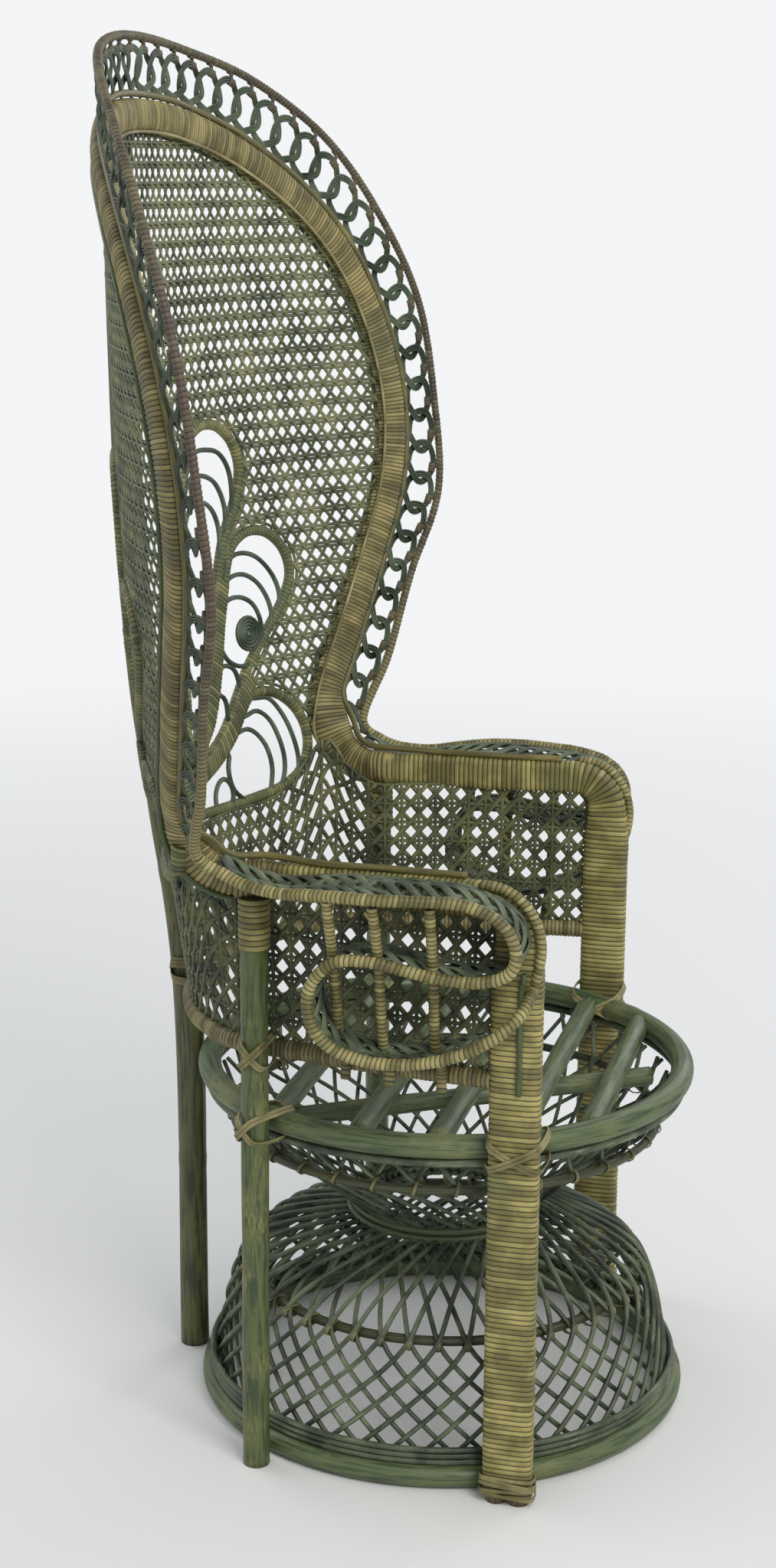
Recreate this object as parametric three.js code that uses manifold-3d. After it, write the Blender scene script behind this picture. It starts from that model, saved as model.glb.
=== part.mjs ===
// Peacock chair: a rattan armchair with a tall fan back, standing on a round hourglass base.
// Millimetres, +Z up. The chair faces -Y, and +X is the sitter's left hand.

import * as THREE from 'three';
import { mergeVertices } from 'three/addons/utils/BufferGeometryUtils.js';
import Module from 'manifold-3d';

const wasm = await Module();
wasm.setup();

// Clearances between pieces that touch
const seatGap = 0.3;
const rimGap = 0.9;

// Hoops on the floor
const hoopRadius = 273;
const hoopTube = 13;
const thinHoopTube = 3.5;
const thinHoopCount = 3;
const hoopSegments = 28;

// Cane cage of the base, two crossing layers
const caneRadius = 3.2;
const baseCaneCount = 12;
const caneTangentRadius = 68;
const crestRadius = 78;
const crestHeight = 226;
const waistRadius = 100;
const waistHeight = 219;
const domeRadius = 175;
const domeHeight = 195;
const shoulderRadius = 232;
const shoulderHeight = 163;
const wallRadius = 250;
const wallHeight = 120;
const caneFootHeight = 8;
const wallSweep = 24 * Math.PI / 180;
const boundHoopTube = 6;
const waistNest = 1.4;

// Seat ring, slats and funnel
const seatRingRadius = 274;
const seatRingTube = 13.5;
const seatHeight = 399;
const underRingTube = 5;
const slatRadius = 12.5;
const slatPlaceShares = [0.504, 0.139, -0.182, -0.467, -0.73];
const crossBarRadius = 11;
const crossBarFrontX = 66;
const crossBarFrontY = 230;
const crossBarRearX = 176;
const crossBarRearY = 146;
const funnelCaneCount = 8;
const funnelRingRadius = 235;
const funnelRingHeight = 332;
const funnelNest = 1.7;
const funnelSweep = 20 * Math.PI / 180;

// Front legs and the arm bands that they bend into
const legThickness = 23;
const legWidth = 50;
const legFrontY = 162;
const armWidth = 37;
const armThickness = 20;
const armHeight = 677;
const armWaistX = 268;
const armRearX = 262;
const armRearY = 150;
const armCornerRadius = 38;
const strapShares = [
  [0.5, 0.25], [0.36, 0.5], [-0.36, 0.5], [-0.5, 0.25],
  [-0.5, -0.25], [-0.36, -0.5], [0.36, -0.5], [0.5, -0.25],
];

// Poles behind the arms and behind the back
const midPostRadius = 14.5;
const midPostX = 266;
const midPostY = 150;
const wrapLength = 57;
const wrapThickness = 1.2;
const rearPostRadius = 17;
const rearPostFootY = 311;
const rearPostTop = 1458;

// Lower rail and the cane net above it
const railRadius = 10.5;
const railRise = 84;
const railHeight = seatHeight + railRise;
const railRearY = 290;
const netThickness = 5;
const armNetColumns = 18;
const armNetRows = 3;
const netPitchX = 74;
const netPitchZ = 74;
const netHoleShare = 0.36;
const netMargin = 26;
const backNetFoot = 756;
// Plan places as shares of the leg's X and of the rail's rear Y, and for the net its top's height too
const railShares = [
  [1, -0.38], [0.975, -0.138], [0.939, 0.138], [0.893, 0.362], [0.868, 0.517], [0.834, 0.631],
  [0.765, 0.717], [0.704, 0.772], [0.596, 0.852], [0.307, 0.969], [0, 1],
];
const netTopShares = [
  [1, -0.38, 1], [0.975, -0.138, 1], [0.967, 0.138, 1], [0.905, 0.379, 1], [0.87, 0.517, 1],
  [0.875, 0.638, 0.998], [0.895, 0.741, 1.0], [0.859, 0.821, 0.99], [0.722, 0.897, 0.98],
  [0.361, 1.028, 0.98], [0, 1.0724, 0.98],
];

// Surface of the back: it leans, and in plan it bends towards the sitter at both sides
const backRearY = 363;
const backLean = 45;
const backLeanLength = 230;
const hubHeight = 672;
const bendRadiusLow = 435;
const bendHeightLow = 800;
const bendRadiusHigh = 650;
const bendHeightHigh = 1500;

// Rim, bound band and looped border of the back
const rimHalfWidth = 484;
const rimHeight = 1543;
const rimFootHeight = 693;
const rimRadius = 7.5;
const bandWidth = 36;
const bandFootWidth = 46;
const bandThickness = 18;
const edgeRodRadius = 4.5;
const bandSteps = 42;
const borderThickness = 6;
const borderLoops = 16;
const borderFootShare = 0.985;
const borderHoleShares = [
  [0.12, 0.5], [0.3, 0.14], [0.7, 0.14], [0.88, 0.5], [0.7, 0.86], [0.3, 0.86],
];
const rimShares = [
  [0, 1], [0.258, 0.989], [0.548, 0.952], [0.775, 0.876], [0.905, 0.776], [0.99, 0.645],
  [1, 0.5], [0.977, 0.36], [0.882, 0.242], [0.787, 0.12], [0.69, 0.026],
];
const bandShares = [
  [0, 0.901], [0.229, 0.892], [0.481, 0.853], [0.677, 0.787], [0.788, 0.716], [0.866, 0.612],
  [0.891, 0.494], [0.863, 0.384], [0.786, 0.273], [0.694, 0.164], [0.618, 0.084],
];
const bandFootShares = [[0.596, 0.03], [0.588, -0.02]];

// Fan of looped rods in the lower back: shares of its half width, and of its height above the hub
const fanHalfWidth = 270;
const fanHeight = 480;
const fanRodRadius = 6;
const fanRodGap = 0.9;
const fanArcRadius = 3;
const fanArcBulgeShare = 0.35;
const fanArcShares = [[0.36, 0.55], [0.3, 0.5], [0.3, 0.5], [0.25, 0.45]];
const hubPlugRadius = 92;
const hubThickness = 14.2;
const discRadius = 23.6;
const discThickness = 5;
const discNest = 1.6;
const discXShare = 0.72;
const discZShare = 0.375;
// The round end of each loop: across, up, and its radius as a share of the half width
const loopEndShares = [
  [0, 0.84, 0.26], [0.556, 0.7875, 0.215], [0.822, 0.52, 0.193], [0.748, 0.094, 0.222],
];
const loopEndDegrees = [[0, 180], [170, -30], [170, -40], [100, -80]];
const stickShares = [
  [[0.104, 0.121], [0.167, 0.185], [0.211, 0.292], [0.244, 0.433], [0.274, 0.558], [0.296, 0.683]],
  [[0.2, 0.092], [0.296, 0.1375], [0.381, 0.185], [0.474, 0.292], [0.53, 0.402], [0.593, 0.515],
    [0.656, 0.61]],
  [[0.148, 0.0375], [0.2, 0.052], [0.381, 0.085], [0.515, 0.131], [0.622, 0.198], [0.711, 0.2625]],
  [[0.148, -0.044], [0.23, -0.05], [0.574, -0.056]],
];

// Rods, bars and plaited strips of the arm scrolls
const armRodRadius = 7.5;
const scrollX = 351;
const scrollReach = 150;
const scrollBarRadius = 6;
const barMiddleHeight = 618;
const barLowHeight = 518;
// Scroll bars: Y as a share of the reach, then X at the arm rod, the middle turn and the lower turn
const barShares = [
  [0.313, 1.0085, 0.9345, 0.849], [-0.02, 1.031, 0.9516, 0.8775], [-0.4, 1.0057, 0.9516, 0.8946],
];
const stripThickness = 5;
// Shares of the scroll's X, of its front reach and of the arm band's height
const armRodShares = [
  [0.94, 1.19, 1.046], [0.934, 1.09, 1.031], [0.943, 0.947, 1.019], [0.969, 0.693, 1.013],
  [1, 0.44, 1.019], [1.03, 0.193, 1.024], [1.04, -0.0667, 1.025], [1.02, -0.34, 1.025],
  [1, -0.607, 1.022], [1, -0.8, 1.01], [1, -0.933, 0.9867], [1, -0.993, 0.9498],
  [1, -0.947, 0.9217], [1, -0.747, 0.904], [1, -0.4, 0.9069], [1, 0.0267, 0.9217],
  [1, 0.267, 0.9158], [1, 0.413, 0.8833], [1, 0.453, 0.8493], [1, 0.4, 0.805],
  [1, 0.267, 0.7784], [1, 0.02, 0.7637], [1, -0.3, 0.7666], [1, -0.62, 0.7873],
  [0.994, -0.78, 0.8065], [0.974, -0.907, 0.8257], [0.929, -1, 0.8464], [0.869, -1.03, 0.8612],
  [0.809, -1.03, 0.8685],
];

// Cane lashings
const lashWidth = 12;
const lashThickness = 3;
const lashShares = [
  [1, 0.6], [0.7, 1], [-0.7, 1], [-1, 0.6], [-1, -0.6], [-0.7, -1], [0.7, -1], [1, -0.6],
];

const colours = {
  pole: { color: 0x3d4d2c, roughness: 0.6, metalness: 0 },
  wrap: { color: 0x7a6d3d, roughness: 0.62, metalness: 0 },
  cane: { color: 0x35432f, roughness: 0.6, metalness: 0 },
  net: { color: 0x6a6d48, roughness: 0.68, metalness: 0 },
  plait: { color: 0x4d5843, roughness: 0.7, metalness: 0 },
  binding: { color: 0x8a8153, roughness: 0.7, metalness: 0 },
};

const chair = new THREE.Group();

// Geometry helpers

function circle(radius, sides) {
  const outline = [];
  for (let side = 0; side < sides; side++) {
    const angle = 2 * Math.PI * side / sides;
    outline.push(new THREE.Vector2(radius * Math.cos(angle), radius * Math.sin(angle)));
  }
  return outline;
}

function flipped(geometry) {
  const corners = geometry.index.array;
  for (let corner = 0; corner < corners.length; corner += 3) {
    const kept = corners[corner + 1];
    corners[corner + 1] = corners[corner + 2];
    corners[corner + 2] = kept;
  }
  return geometry;
}

function volume(geometry) {
  const corners = geometry.index.array;
  const [a, b, c] = [new THREE.Vector3(), new THREE.Vector3(), new THREE.Vector3()];
  let total = 0;
  for (let corner = 0; corner < corners.length; corner += 3) {
    a.fromBufferAttribute(geometry.attributes.position, corners[corner]);
    b.fromBufferAttribute(geometry.attributes.position, corners[corner + 1]);
    c.fromBufferAttribute(geometry.attributes.position, corners[corner + 2]);
    total += a.dot(b.cross(c)) / 6;
  }
  return total;
}

// Shared corners merged, and faces turned to point out
function closed(geometry) {
  geometry.deleteAttribute('normal');
  geometry.deleteAttribute('uv');
  const body = mergeVertices(geometry);
  const corners = Array.from(body.index.array);
  const kept = [];
  for (let corner = 0; corner < corners.length; corner += 3) {
    const face = corners.slice(corner, corner + 3);
    if (new Set(face).size === 3) {
      kept.push(...face);
    }
  }
  body.setIndex(kept);
  return volume(body) < 0 ? flipped(body) : body;
}

function mirrored(geometry) {
  return flipped(geometry.clone().scale(-1, 1, 1));
}

// A skin over rings of points: a loop closes on itself, an open run gets a flat cap at each end
function skin(rings, loop = false) {
  const sides = rings[0].length;
  const corners = [];
  const runs = loop ? rings.length : rings.length - 1;
  for (let run = 0; run < runs; run++) {
    const here = run * sides;
    const next = ((run + 1) % rings.length) * sides;
    for (let side = 0; side < sides; side++) {
      const beside = (side + 1) % sides;
      corners.push(here + side, here + beside, next + beside);
      corners.push(here + side, next + beside, next + side);
    }
  }
  const last = (rings.length - 1) * sides;
  for (let side = 1; !loop && side < sides - 1; side++) {
    corners.push(0, side + 1, side);
    corners.push(last, last + side, last + side + 1);
  }
  const geometry = new THREE.BufferGeometry().setFromPoints(rings.flat());
  geometry.setIndex(corners);
  return closed(geometry);
}

// A ring of points around a centre, spanned by two directions
function ringAt(centre, across, up, outline) {
  return outline.map((point) => centre.clone()
    .addScaledVector(across, point.x)
    .addScaledVector(up, point.y));
}

// The four corners of a run between two points that is widened to both sides
function edged(near, far, side) {
  return [near.clone().sub(side), far.clone().sub(side), far.clone().add(side), near.clone().add(side)];
}

function rod(curve, radius, sides, steps) {
  const shape = new THREE.Shape(circle(radius, sides));
  return closed(new THREE.ExtrudeGeometry(shape, { steps, extrudePath: curve }));
}

function smooth(points) {
  return new THREE.CatmullRomCurve3(points);
}

function hoop(radius, tube, height, sides, segments) {
  const profile = circle(tube, sides).map((point) => new THREE.Vector2(radius + point.x, point.y));
  profile.push(profile[0].clone());
  const ring = closed(new THREE.LatheGeometry(profile, segments).rotateX(Math.PI / 2));
  return ring.translate(0, 0, height);
}

// A flat outline given a thickness and bent onto a surface
function bent(shape, thickness, place) {
  const geometry = closed(new THREE.ExtrudeGeometry(shape, { depth: 1, bevelEnabled: false }));
  const places = geometry.attributes.position;
  for (let corner = 0; corner < places.count; corner++) {
    const off = (places.getZ(corner) - 1 / 2) * thickness;
    const point = place(places.getX(corner), places.getY(corner), off);
    places.setXYZ(corner, point.x, point.y, point.z);
  }
  return volume(geometry) < 0 ? flipped(geometry) : geometry;
}

function cell(x, y, wide, high) {
  return [
    new THREE.Vector2(x, y), new THREE.Vector2(x + wide, y),
    new THREE.Vector2(x + wide, y + high), new THREE.Vector2(x, y + high),
  ];
}

function diamond(x, y, halfX, halfY) {
  return [
    new THREE.Vector2(x + halfX, y), new THREE.Vector2(x, y + halfY),
    new THREE.Vector2(x - halfX, y), new THREE.Vector2(x, y - halfY),
  ];
}

// The flat faces of one cell of a net, with or without a hole
function cellFaces(outline, hole) {
  const corners = [...outline, ...hole];
  const faces = THREE.ShapeUtils.triangulateShape(outline, hole.length ? [hole] : []);
  return faces.map((face) => face.map((corner) => corners[corner]));
}

// Flat faces given a thickness and bent onto a surface, with a wall at each edge that has no neighbour
function bentNet(faces, thickness, place) {
  const sheet = mergeVertices(new THREE.BufferGeometry().setFromPoints(faces.flat()));
  const places = sheet.attributes.position;
  const corners = [];
  const edges = [];
  for (let corner = 0; corner < faces.length * 3; corner += 3) {
    const [a, b, c] = sheet.index.array.slice(corner, corner + 3);
    corners.push(a, b, c, c + places.count, b + places.count, a + places.count);
    edges.push([a, b], [b, c], [c, a]);
  }
  const known = new Set(edges.map((edge) => edge.join()));
  edges.filter(([from, to]) => !known.has([to, from].join())).forEach(([from, to]) => {
    corners.push(to, from, from + places.count, to, from + places.count, to + places.count);
  });
  const points = [];
  for (const off of [thickness / 2, -thickness / 2]) {
    for (let corner = 0; corner < places.count; corner++) {
      points.push(place(places.getX(corner), places.getY(corner), off));
    }
  }
  const geometry = new THREE.BufferGeometry().setFromPoints(points);
  geometry.setIndex(corners);
  return volume(geometry) < 0 ? flipped(geometry) : geometry;
}

function solid(geometry) {
  const mesh = new wasm.Mesh({
    numProp: 3,
    vertProperties: new Float32Array(geometry.attributes.position.array),
    triVerts: new Uint32Array(geometry.index.array),
  });
  return new wasm.Manifold(mesh);
}

function asGeometry(body) {
  const mesh = body.getMesh();
  const geometry = new THREE.BufferGeometry();
  geometry.setAttribute('position', new THREE.BufferAttribute(mesh.vertProperties, 3));
  geometry.setIndex(new THREE.BufferAttribute(mesh.triVerts, 1));
  return geometry;
}

function joined(geometries) {
  return asGeometry(geometries.map(solid).reduce((body, next) => body.add(next)));
}

// A body with its neighbours cut away; slivers that this leaves beside it fall off
function cut(geometry, cutters) {
  const rest = cutters.map(solid).reduce((body, cutter) => body.subtract(cutter), solid(geometry));
  return rest.decompose().map(asGeometry).reduce((kept, piece) => {
    return volume(piece) > volume(kept) ? piece : kept;
  });
}

function add(name, geometry, slot) {
  const mesh = new THREE.Mesh(geometry, new THREE.MeshStandardMaterial(colours[slot]));
  mesh.name = name;
  chair.add(mesh);
}

function addPair(name, geometry, slot) {
  add(`${name}_left`, geometry, slot);
  add(`${name}_right`, mirrored(geometry), slot);
}

// Surface of the back

function backRear(z) {
  return backRearY - backLean * Math.exp((hubHeight - z) / backLeanLength);
}

function backBend(z) {
  const rise = (z - bendHeightLow) / (bendHeightHigh - bendHeightLow);
  return bendRadiusLow + rise * (bendRadiusHigh - bendRadiusLow);
}

function backNormal(x, z) {
  const bend = backBend(z);
  const bendSlope = (bendRadiusHigh - bendRadiusLow) / (bendHeightHigh - bendHeightLow);
  const leanSlope = (backRearY - backRear(z)) / backLeanLength;
  const slope = leanSlope + bendSlope * x * x / (2 * bend * bend);
  return new THREE.Vector3(x / bend, 1, -slope).normalize();
}

function onBack(x, z, off = 0) {
  const point = new THREE.Vector3(x, backRear(z) - x * x / (2 * backBend(z)), z);
  return point.addScaledVector(backNormal(x, z), off);
}

// Mirrored shares of the rim's size, from one foot over the top to the other
function overTheTop(shares) {
  const places = shares.map(([across, up]) => [
    across * rimHalfWidth,
    rimFootHeight + up * (rimHeight - rimFootHeight),
  ]);
  const far = places.slice(1).reverse().map(([x, z]) => onBack(-x, z));
  return [...far, ...places.map(([x, z]) => onBack(x, z))];
}

const rimCurve = smooth(overTheTop(rimShares));
const bandCurve = smooth(overTheTop([...bandShares, ...bandFootShares]));
const rimRuns = 2 * (rimShares.length - 1);
const bandFootRuns = bandFootShares.length;

// The band's place beside a place on the rim
function bandPlace(rimPlace) {
  return (bandFootRuns + rimRuns * rimPlace) / (rimRuns + 2 * bandFootRuns);
}

function bandWidthAt(place) {
  const reach = Math.abs(2 * place - 1);
  return bandWidth + (bandFootWidth - bandWidth) * reach ** 4;
}

// A place on the band: its centre, and the directions along, out of and across the back
function bandFrame(place) {
  const centre = bandCurve.getPoint(place);
  const along = bandCurve.getTangent(place);
  const rearward = backNormal(centre.x, centre.z);
  const outward = along.clone().cross(rearward).normalize().negate();
  if (outward.dot(new THREE.Vector3(centre.x, 0, centre.z - hubHeight)) < 0) {
    outward.negate();
  }
  return { centre, rearward, outward };
}

// Base: hoops and two crossing layers of canes

function addFloorHoops() {
  add('floor_hoop', hoop(hoopRadius, hoopTube, hoopTube, 8, hoopSegments), 'pole');
  const first = 2 * hoopTube + seatGap + thinHoopTube;
  for (let index = 0; index < thinHoopCount; index++) {
    const height = first + index * (2 * thinHoopTube + seatGap);
    add(`thin_hoop_${index + 1}`, hoop(hoopRadius, thinHoopTube, height, 4, hoopSegments), 'cane');
  }
}

const layerShift = caneRadius + seatGap / 2;
const underHeight = seatHeight - seatRingTube - seatGap - underRingTube;

function underRing(grow) {
  return hoop(seatRingRadius, underRingTube + grow, underHeight, 5, hoopSegments);
}

// A profile point moved off the profile line, out of the cage
function shifted(profile, index, shift) {
  const before = profile[Math.max(index - 1, 0)];
  const after = profile[Math.min(index + 1, profile.length - 1)];
  const run = after.clone().sub(before).normalize();
  return profile[index].clone().add(new THREE.Vector2(-run.y, run.x).multiplyScalar(shift));
}

// One cane of a cage: straight in plan along a tangent, then swept on by its own share
function cagedCane(profile, sweepShares, sweep, layer, turn) {
  const points = profile.map((corner, index) => {
    const place = shifted(profile, index, layer * layerShift);
    const swing = Math.acos(caneTangentRadius / corner.x) + sweep * sweepShares[index];
    const angle = turn + layer * swing;
    return new THREE.Vector3(place.x * Math.cos(angle), place.x * Math.sin(angle), place.y);
  });
  const rings = points.map((point, index) => {
    const before = points[Math.max(index - 1, 0)];
    const after = points[Math.min(index + 1, points.length - 1)];
    const along = after.clone().sub(before).normalize();
    const across = along.clone().cross(new THREE.Vector3(point.x, point.y, 0)).normalize();
    return ringAt(point, across, across.clone().cross(along), circle(caneRadius, 4));
  });
  return skin(rings);
}

function cageLayer(profile, sweepShares, sweep, layer, count, boundIndex) {
  const bodies = [];
  for (let index = 0; index < count; index++) {
    const turn = 2 * Math.PI * index / count;
    bodies.push(cagedCane(profile, sweepShares, sweep, layer, turn));
  }
  const bound = shifted(profile, boundIndex, layer * (layerShift + boundHoopTube / 2));
  bodies.push(hoop(bound.x, boundHoopTube, bound.y, 5, 2 * count));
  return joined(bodies);
}

// Inside of a hoop at the middle of its flat runs
function insideHoop(radius, tube) {
  return (radius - tube) * Math.cos(Math.PI / hoopSegments);
}

const caneFootRadius = insideHoop(hoopRadius, hoopTube) - seatGap - caneRadius - layerShift;

function addBaseCanes() {
  const profile = [
    new THREE.Vector2(caneFootRadius, caneFootHeight),
    new THREE.Vector2(wallRadius, wallHeight),
    new THREE.Vector2(shoulderRadius, shoulderHeight),
    new THREE.Vector2(domeRadius, domeHeight),
    new THREE.Vector2(waistRadius, waistHeight),
    new THREE.Vector2(crestRadius, crestHeight),
  ];
  const sweepShares = [1, 0.4, 0, 0, 0, 0];
  const outer = cageLayer(profile, sweepShares, wallSweep, -1, baseCaneCount, 2);
  const inner = cageLayer(profile, sweepShares, wallSweep, 1, baseCaneCount, 4);
  add('base_canes_outer', outer, 'cane');
  add('base_canes_inner', inner, 'cane');
}

function addFunnel() {
  const reach = layerShift + caneRadius;
  const foot = waistHeight + 2 * reach - waistNest;
  const rest = insideHoop(seatRingRadius, underRingTube);
  const topRadius = rest - seatGap - caneRadius - layerShift + funnelNest;
  const profile = [
    new THREE.Vector2(waistRadius, foot),
    new THREE.Vector2(funnelRingRadius, funnelRingHeight),
    new THREE.Vector2(topRadius, underHeight),
  ];
  const sweepShares = [0, 0.8, 1];
  const inner = cageLayer(profile, sweepShares, funnelSweep, 1, funnelCaneCount, 0);
  const outer = cageLayer(profile, sweepShares, funnelSweep, -1, funnelCaneCount, 1);
  add('funnel_canes_inner', inner, 'cane');
  add('funnel_canes_outer', outer, 'cane');
  add('under_ring', underRing(0), 'cane');
}

// Seat: ring, slats and the bar beneath them

function seatRing(grow) {
  return hoop(seatRingRadius, seatRingTube + grow, seatHeight, 8, hoopSegments);
}

function slat(share, grow) {
  const y = share * seatRingRadius;
  const end = Math.sqrt(seatRingRadius ** 2 - y ** 2);
  const ends = [new THREE.Vector3(-end, y, seatHeight), new THREE.Vector3(end, y, seatHeight)];
  return rod(new THREE.LineCurve3(...ends), slatRadius + grow, 8, 1);
}

function addSeat() {
  add('seat_ring', seatRing(0), 'pole');
  const cutter = seatRing(seatGap);
  slatPlaceShares.forEach((share, index) => {
    add(`seat_slat_${index + 1}`, cut(slat(share, 0), [cutter]), 'pole');
  });
  const height = seatHeight - slatRadius - seatGap - crossBarRadius;
  const front = new THREE.Vector3(crossBarFrontX, -crossBarFrontY, height);
  const rear = new THREE.Vector3(-crossBarRearX, crossBarRearY, height);
  add('seat_cross_bar', rod(new THREE.LineCurve3(front, rear), crossBarRadius, 8, 1), 'pole');
}

// Front legs, each bending at its top into an arm band

const legRearY = legFrontY - legWidth;
const legCentreY = legFrontY - legWidth / 2;
const ringReach = seatRingRadius + seatRingTube;
const legInnerX = Math.sqrt(ringReach ** 2 - legRearY ** 2) + seatGap;
const legX = legInnerX + legThickness / 2;
const legOuterX = legInnerX + legThickness;
const armUnderside = armHeight - armWidth / 2;

function strapRing(centre, wide, thick, width, thickness) {
  const outline = strapShares.map(([a, b]) => new THREE.Vector2(a * width, b * thickness));
  return ringAt(centre, wide, thick, outline);
}

function armPoints() {
  const cornerZ = armHeight - armCornerRadius;
  const cornerY = armCornerRadius - legCentreY;
  const points = [new THREE.Vector3(legX, -legCentreY, 0)];
  const bends = 4;
  for (let bend = 0; bend <= bends; bend++) {
    const angle = Math.PI / 2 * bend / bends;
    const y = cornerY - armCornerRadius * Math.cos(angle);
    const z = cornerZ + armCornerRadius * Math.sin(angle);
    points.push(new THREE.Vector3(legX, y, z));
  }
  const meeting = bandFrame(bandPlace(1)).centre;
  points.push(new THREE.Vector3(armWaistX, 0, armHeight));
  points.push(new THREE.Vector3(armWaistX, armRearY / 2, armHeight));
  points.push(new THREE.Vector3(armRearX - 2 * seatGap, armRearY, armHeight));
  const turn = new THREE.Vector3(armRearX, armRearY, armHeight).lerp(meeting, 1 / 3);
  turn.z -= armThickness / 2;
  points.push(turn);
  points.push(new THREE.Vector3(armRearX, armRearY, armHeight).lerp(meeting, 2 / 3));
  points.push(meeting);
  return points;
}

function legAndArm(grow) {
  const points = armPoints();
  const bentAt = 5;
  const rings = points.map((point, index) => {
    const before = points[Math.max(index - 1, 0)];
    const after = points[Math.min(index + 1, points.length - 1)];
    const along = after.clone().sub(before).normalize();
    const thick = new THREE.Vector3(1, 0, 0);
    thick.addScaledVector(along, -along.x).normalize();
    const turned = Math.min(Math.max(index - 1, 0) / (bentAt - 1), 1);
    const width = legWidth + (armWidth - legWidth) * turned + 2 * grow;
    const thickness = legThickness + (armThickness - legThickness) * turned + 2 * grow;
    return strapRing(point, thick.clone().cross(along), thick, width, thickness);
  });
  return skin(rings);
}

// Everything behind the front face of the back band, for cutting what ends on it
function behindBand() {
  const rings = [];
  const steps = 10;
  for (let step = 0; step <= steps; step++) {
    const { centre, rearward, outward } = bandFrame(1 - step / steps / 6);
    const outline = [
      new THREE.Vector2(-bandFootWidth, -bandThickness / 2 - seatGap),
      new THREE.Vector2(bandFootWidth, -bandThickness / 2 - seatGap),
      new THREE.Vector2(bandFootWidth, 3 * bandThickness),
      new THREE.Vector2(-bandFootWidth, 3 * bandThickness),
    ];
    rings.push(ringAt(centre, outward, rearward, outline));
  }
  return skin(rings);
}

function addLegsAndArms() {
  addPair('leg_and_arm', cut(legAndArm(0), [behindBand()]), 'wrap');
}

// Poles

const hubFoot = hubHeight + stickShares[3][0][1] * fanHeight;

// A pole with its wrapped top
function midPost(grow) {
  const top = armUnderside - seatGap;
  const bare = midPostRadius + grow;
  const wrapped = bare + wrapThickness;
  const profile = [
    new THREE.Vector2(0, 0),
    new THREE.Vector2(bare, 0),
    new THREE.Vector2(bare, top - wrapLength),
    new THREE.Vector2(wrapped, top - wrapLength),
    new THREE.Vector2(wrapped, top),
    new THREE.Vector2(0, top),
  ];
  const post = closed(new THREE.LatheGeometry(profile, 12).rotateX(Math.PI / 2));
  return post.translate(midPostX + wrapThickness, midPostY, 0);
}

function addPosts() {
  addPair('mid_post', midPost(0), 'pole');

  const railSeat = railRearY + railRadius + seatGap + rearPostRadius;
  const setback = bandThickness / 2 + seatGap + rearPostRadius;
  const points = [
    new THREE.Vector3(0, rearPostFootY, -rearPostRadius), new THREE.Vector3(0, railSeat, railHeight),
  ];
  const rises = 6;
  for (let rise = 0; rise <= rises; rise++) {
    const z = hubFoot + (rearPostTop - hubFoot) * rise / rises;
    points.push(new THREE.Vector3(0, backRear(z) + setback, z));
  }
  const floor = new THREE.BoxGeometry(hoopRadius, hoopRadius, hoopRadius);
  floor.translate(0, rearPostFootY, -hoopRadius / 2);
  const rearPost = rod(smooth(points), rearPostRadius, 8, 11);
  add('rear_post', cut(rearPost, [closed(floor)]), 'pole');
}

// Back: bound band with its edge rod, rim and looped border

function addBackBand() {
  const rings = [];
  const edges = [];
  for (let step = 0; step <= bandSteps; step++) {
    const place = step / bandSteps;
    const { centre, rearward, outward } = bandFrame(place);
    const width = bandWidthAt(place);
    rings.push(strapRing(centre, outward, rearward, width, bandThickness));
    edges.push(centre.clone().addScaledVector(outward, width / 2 + rimGap + edgeRodRadius));
  }
  add('back_band', skin(rings), 'wrap');
  const span = edges.slice(bandFootRuns, edges.length - bandFootRuns);
  add('band_edge_rod', rod(smooth(span), edgeRodRadius, 4, bandSteps), 'pole');
}

function rimRod(grow) {
  return rod(rimCurve, rimRadius + grow, 6, 50);
}

// A place on the border: from the edge rod at 0 across to the rim at 1
function onBorder(rimShare, across, off) {
  const place = rimCurve.getUtoTmapping(rimShare);
  const rim = rimCurve.getPoint(place);
  const { centre } = bandFrame(bandPlace(place));
  const outward = rim.clone().sub(centre);
  const span = outward.length();
  outward.normalize();
  const inner = bandWidthAt(bandPlace(place)) / 2 + 2 * edgeRodRadius + 2 * rimGap;
  const outer = span - rimRadius - rimGap - seatGap;
  const point = centre.clone().addScaledVector(outward, inner + across * (outer - inner));
  point.addScaledVector(backNormal(point.x, point.z), off);
  point.x = Math.max(point.x, seatGap / 2);
  return point;
}

function addBorders() {
  const faces = [];
  for (let index = 0; index < borderLoops; index++) {
    const hole = borderHoleShares.map(([a, b]) => new THREE.Vector2(index + a, b));
    faces.push(...cellFaces(cell(index, 0, 1, 1), hole));
  }
  const border = bentNet(faces, borderThickness, (along, across, off) => {
    const share = 1 / 2 + (borderFootShare - 1 / 2) * along / borderLoops;
    return onBorder(share, across, off);
  });
  addPair('border', border, 'cane');
}

// Fan of looped rods

function stick(index, offset) {
  const places = stickShares[index].map(([across, up]) => new THREE.Vector2(
    across * fanHalfWidth,
    up * fanHeight,
  ));
  return places.map((place, order) => {
    const before = places[Math.max(order - 1, 0)];
    const after = places[Math.min(order + 1, places.length - 1)];
    const run = after.clone().sub(before).normalize();
    return place.clone().add(new THREE.Vector2(run.y, -run.x).multiplyScalar(offset));
  });
}

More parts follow.
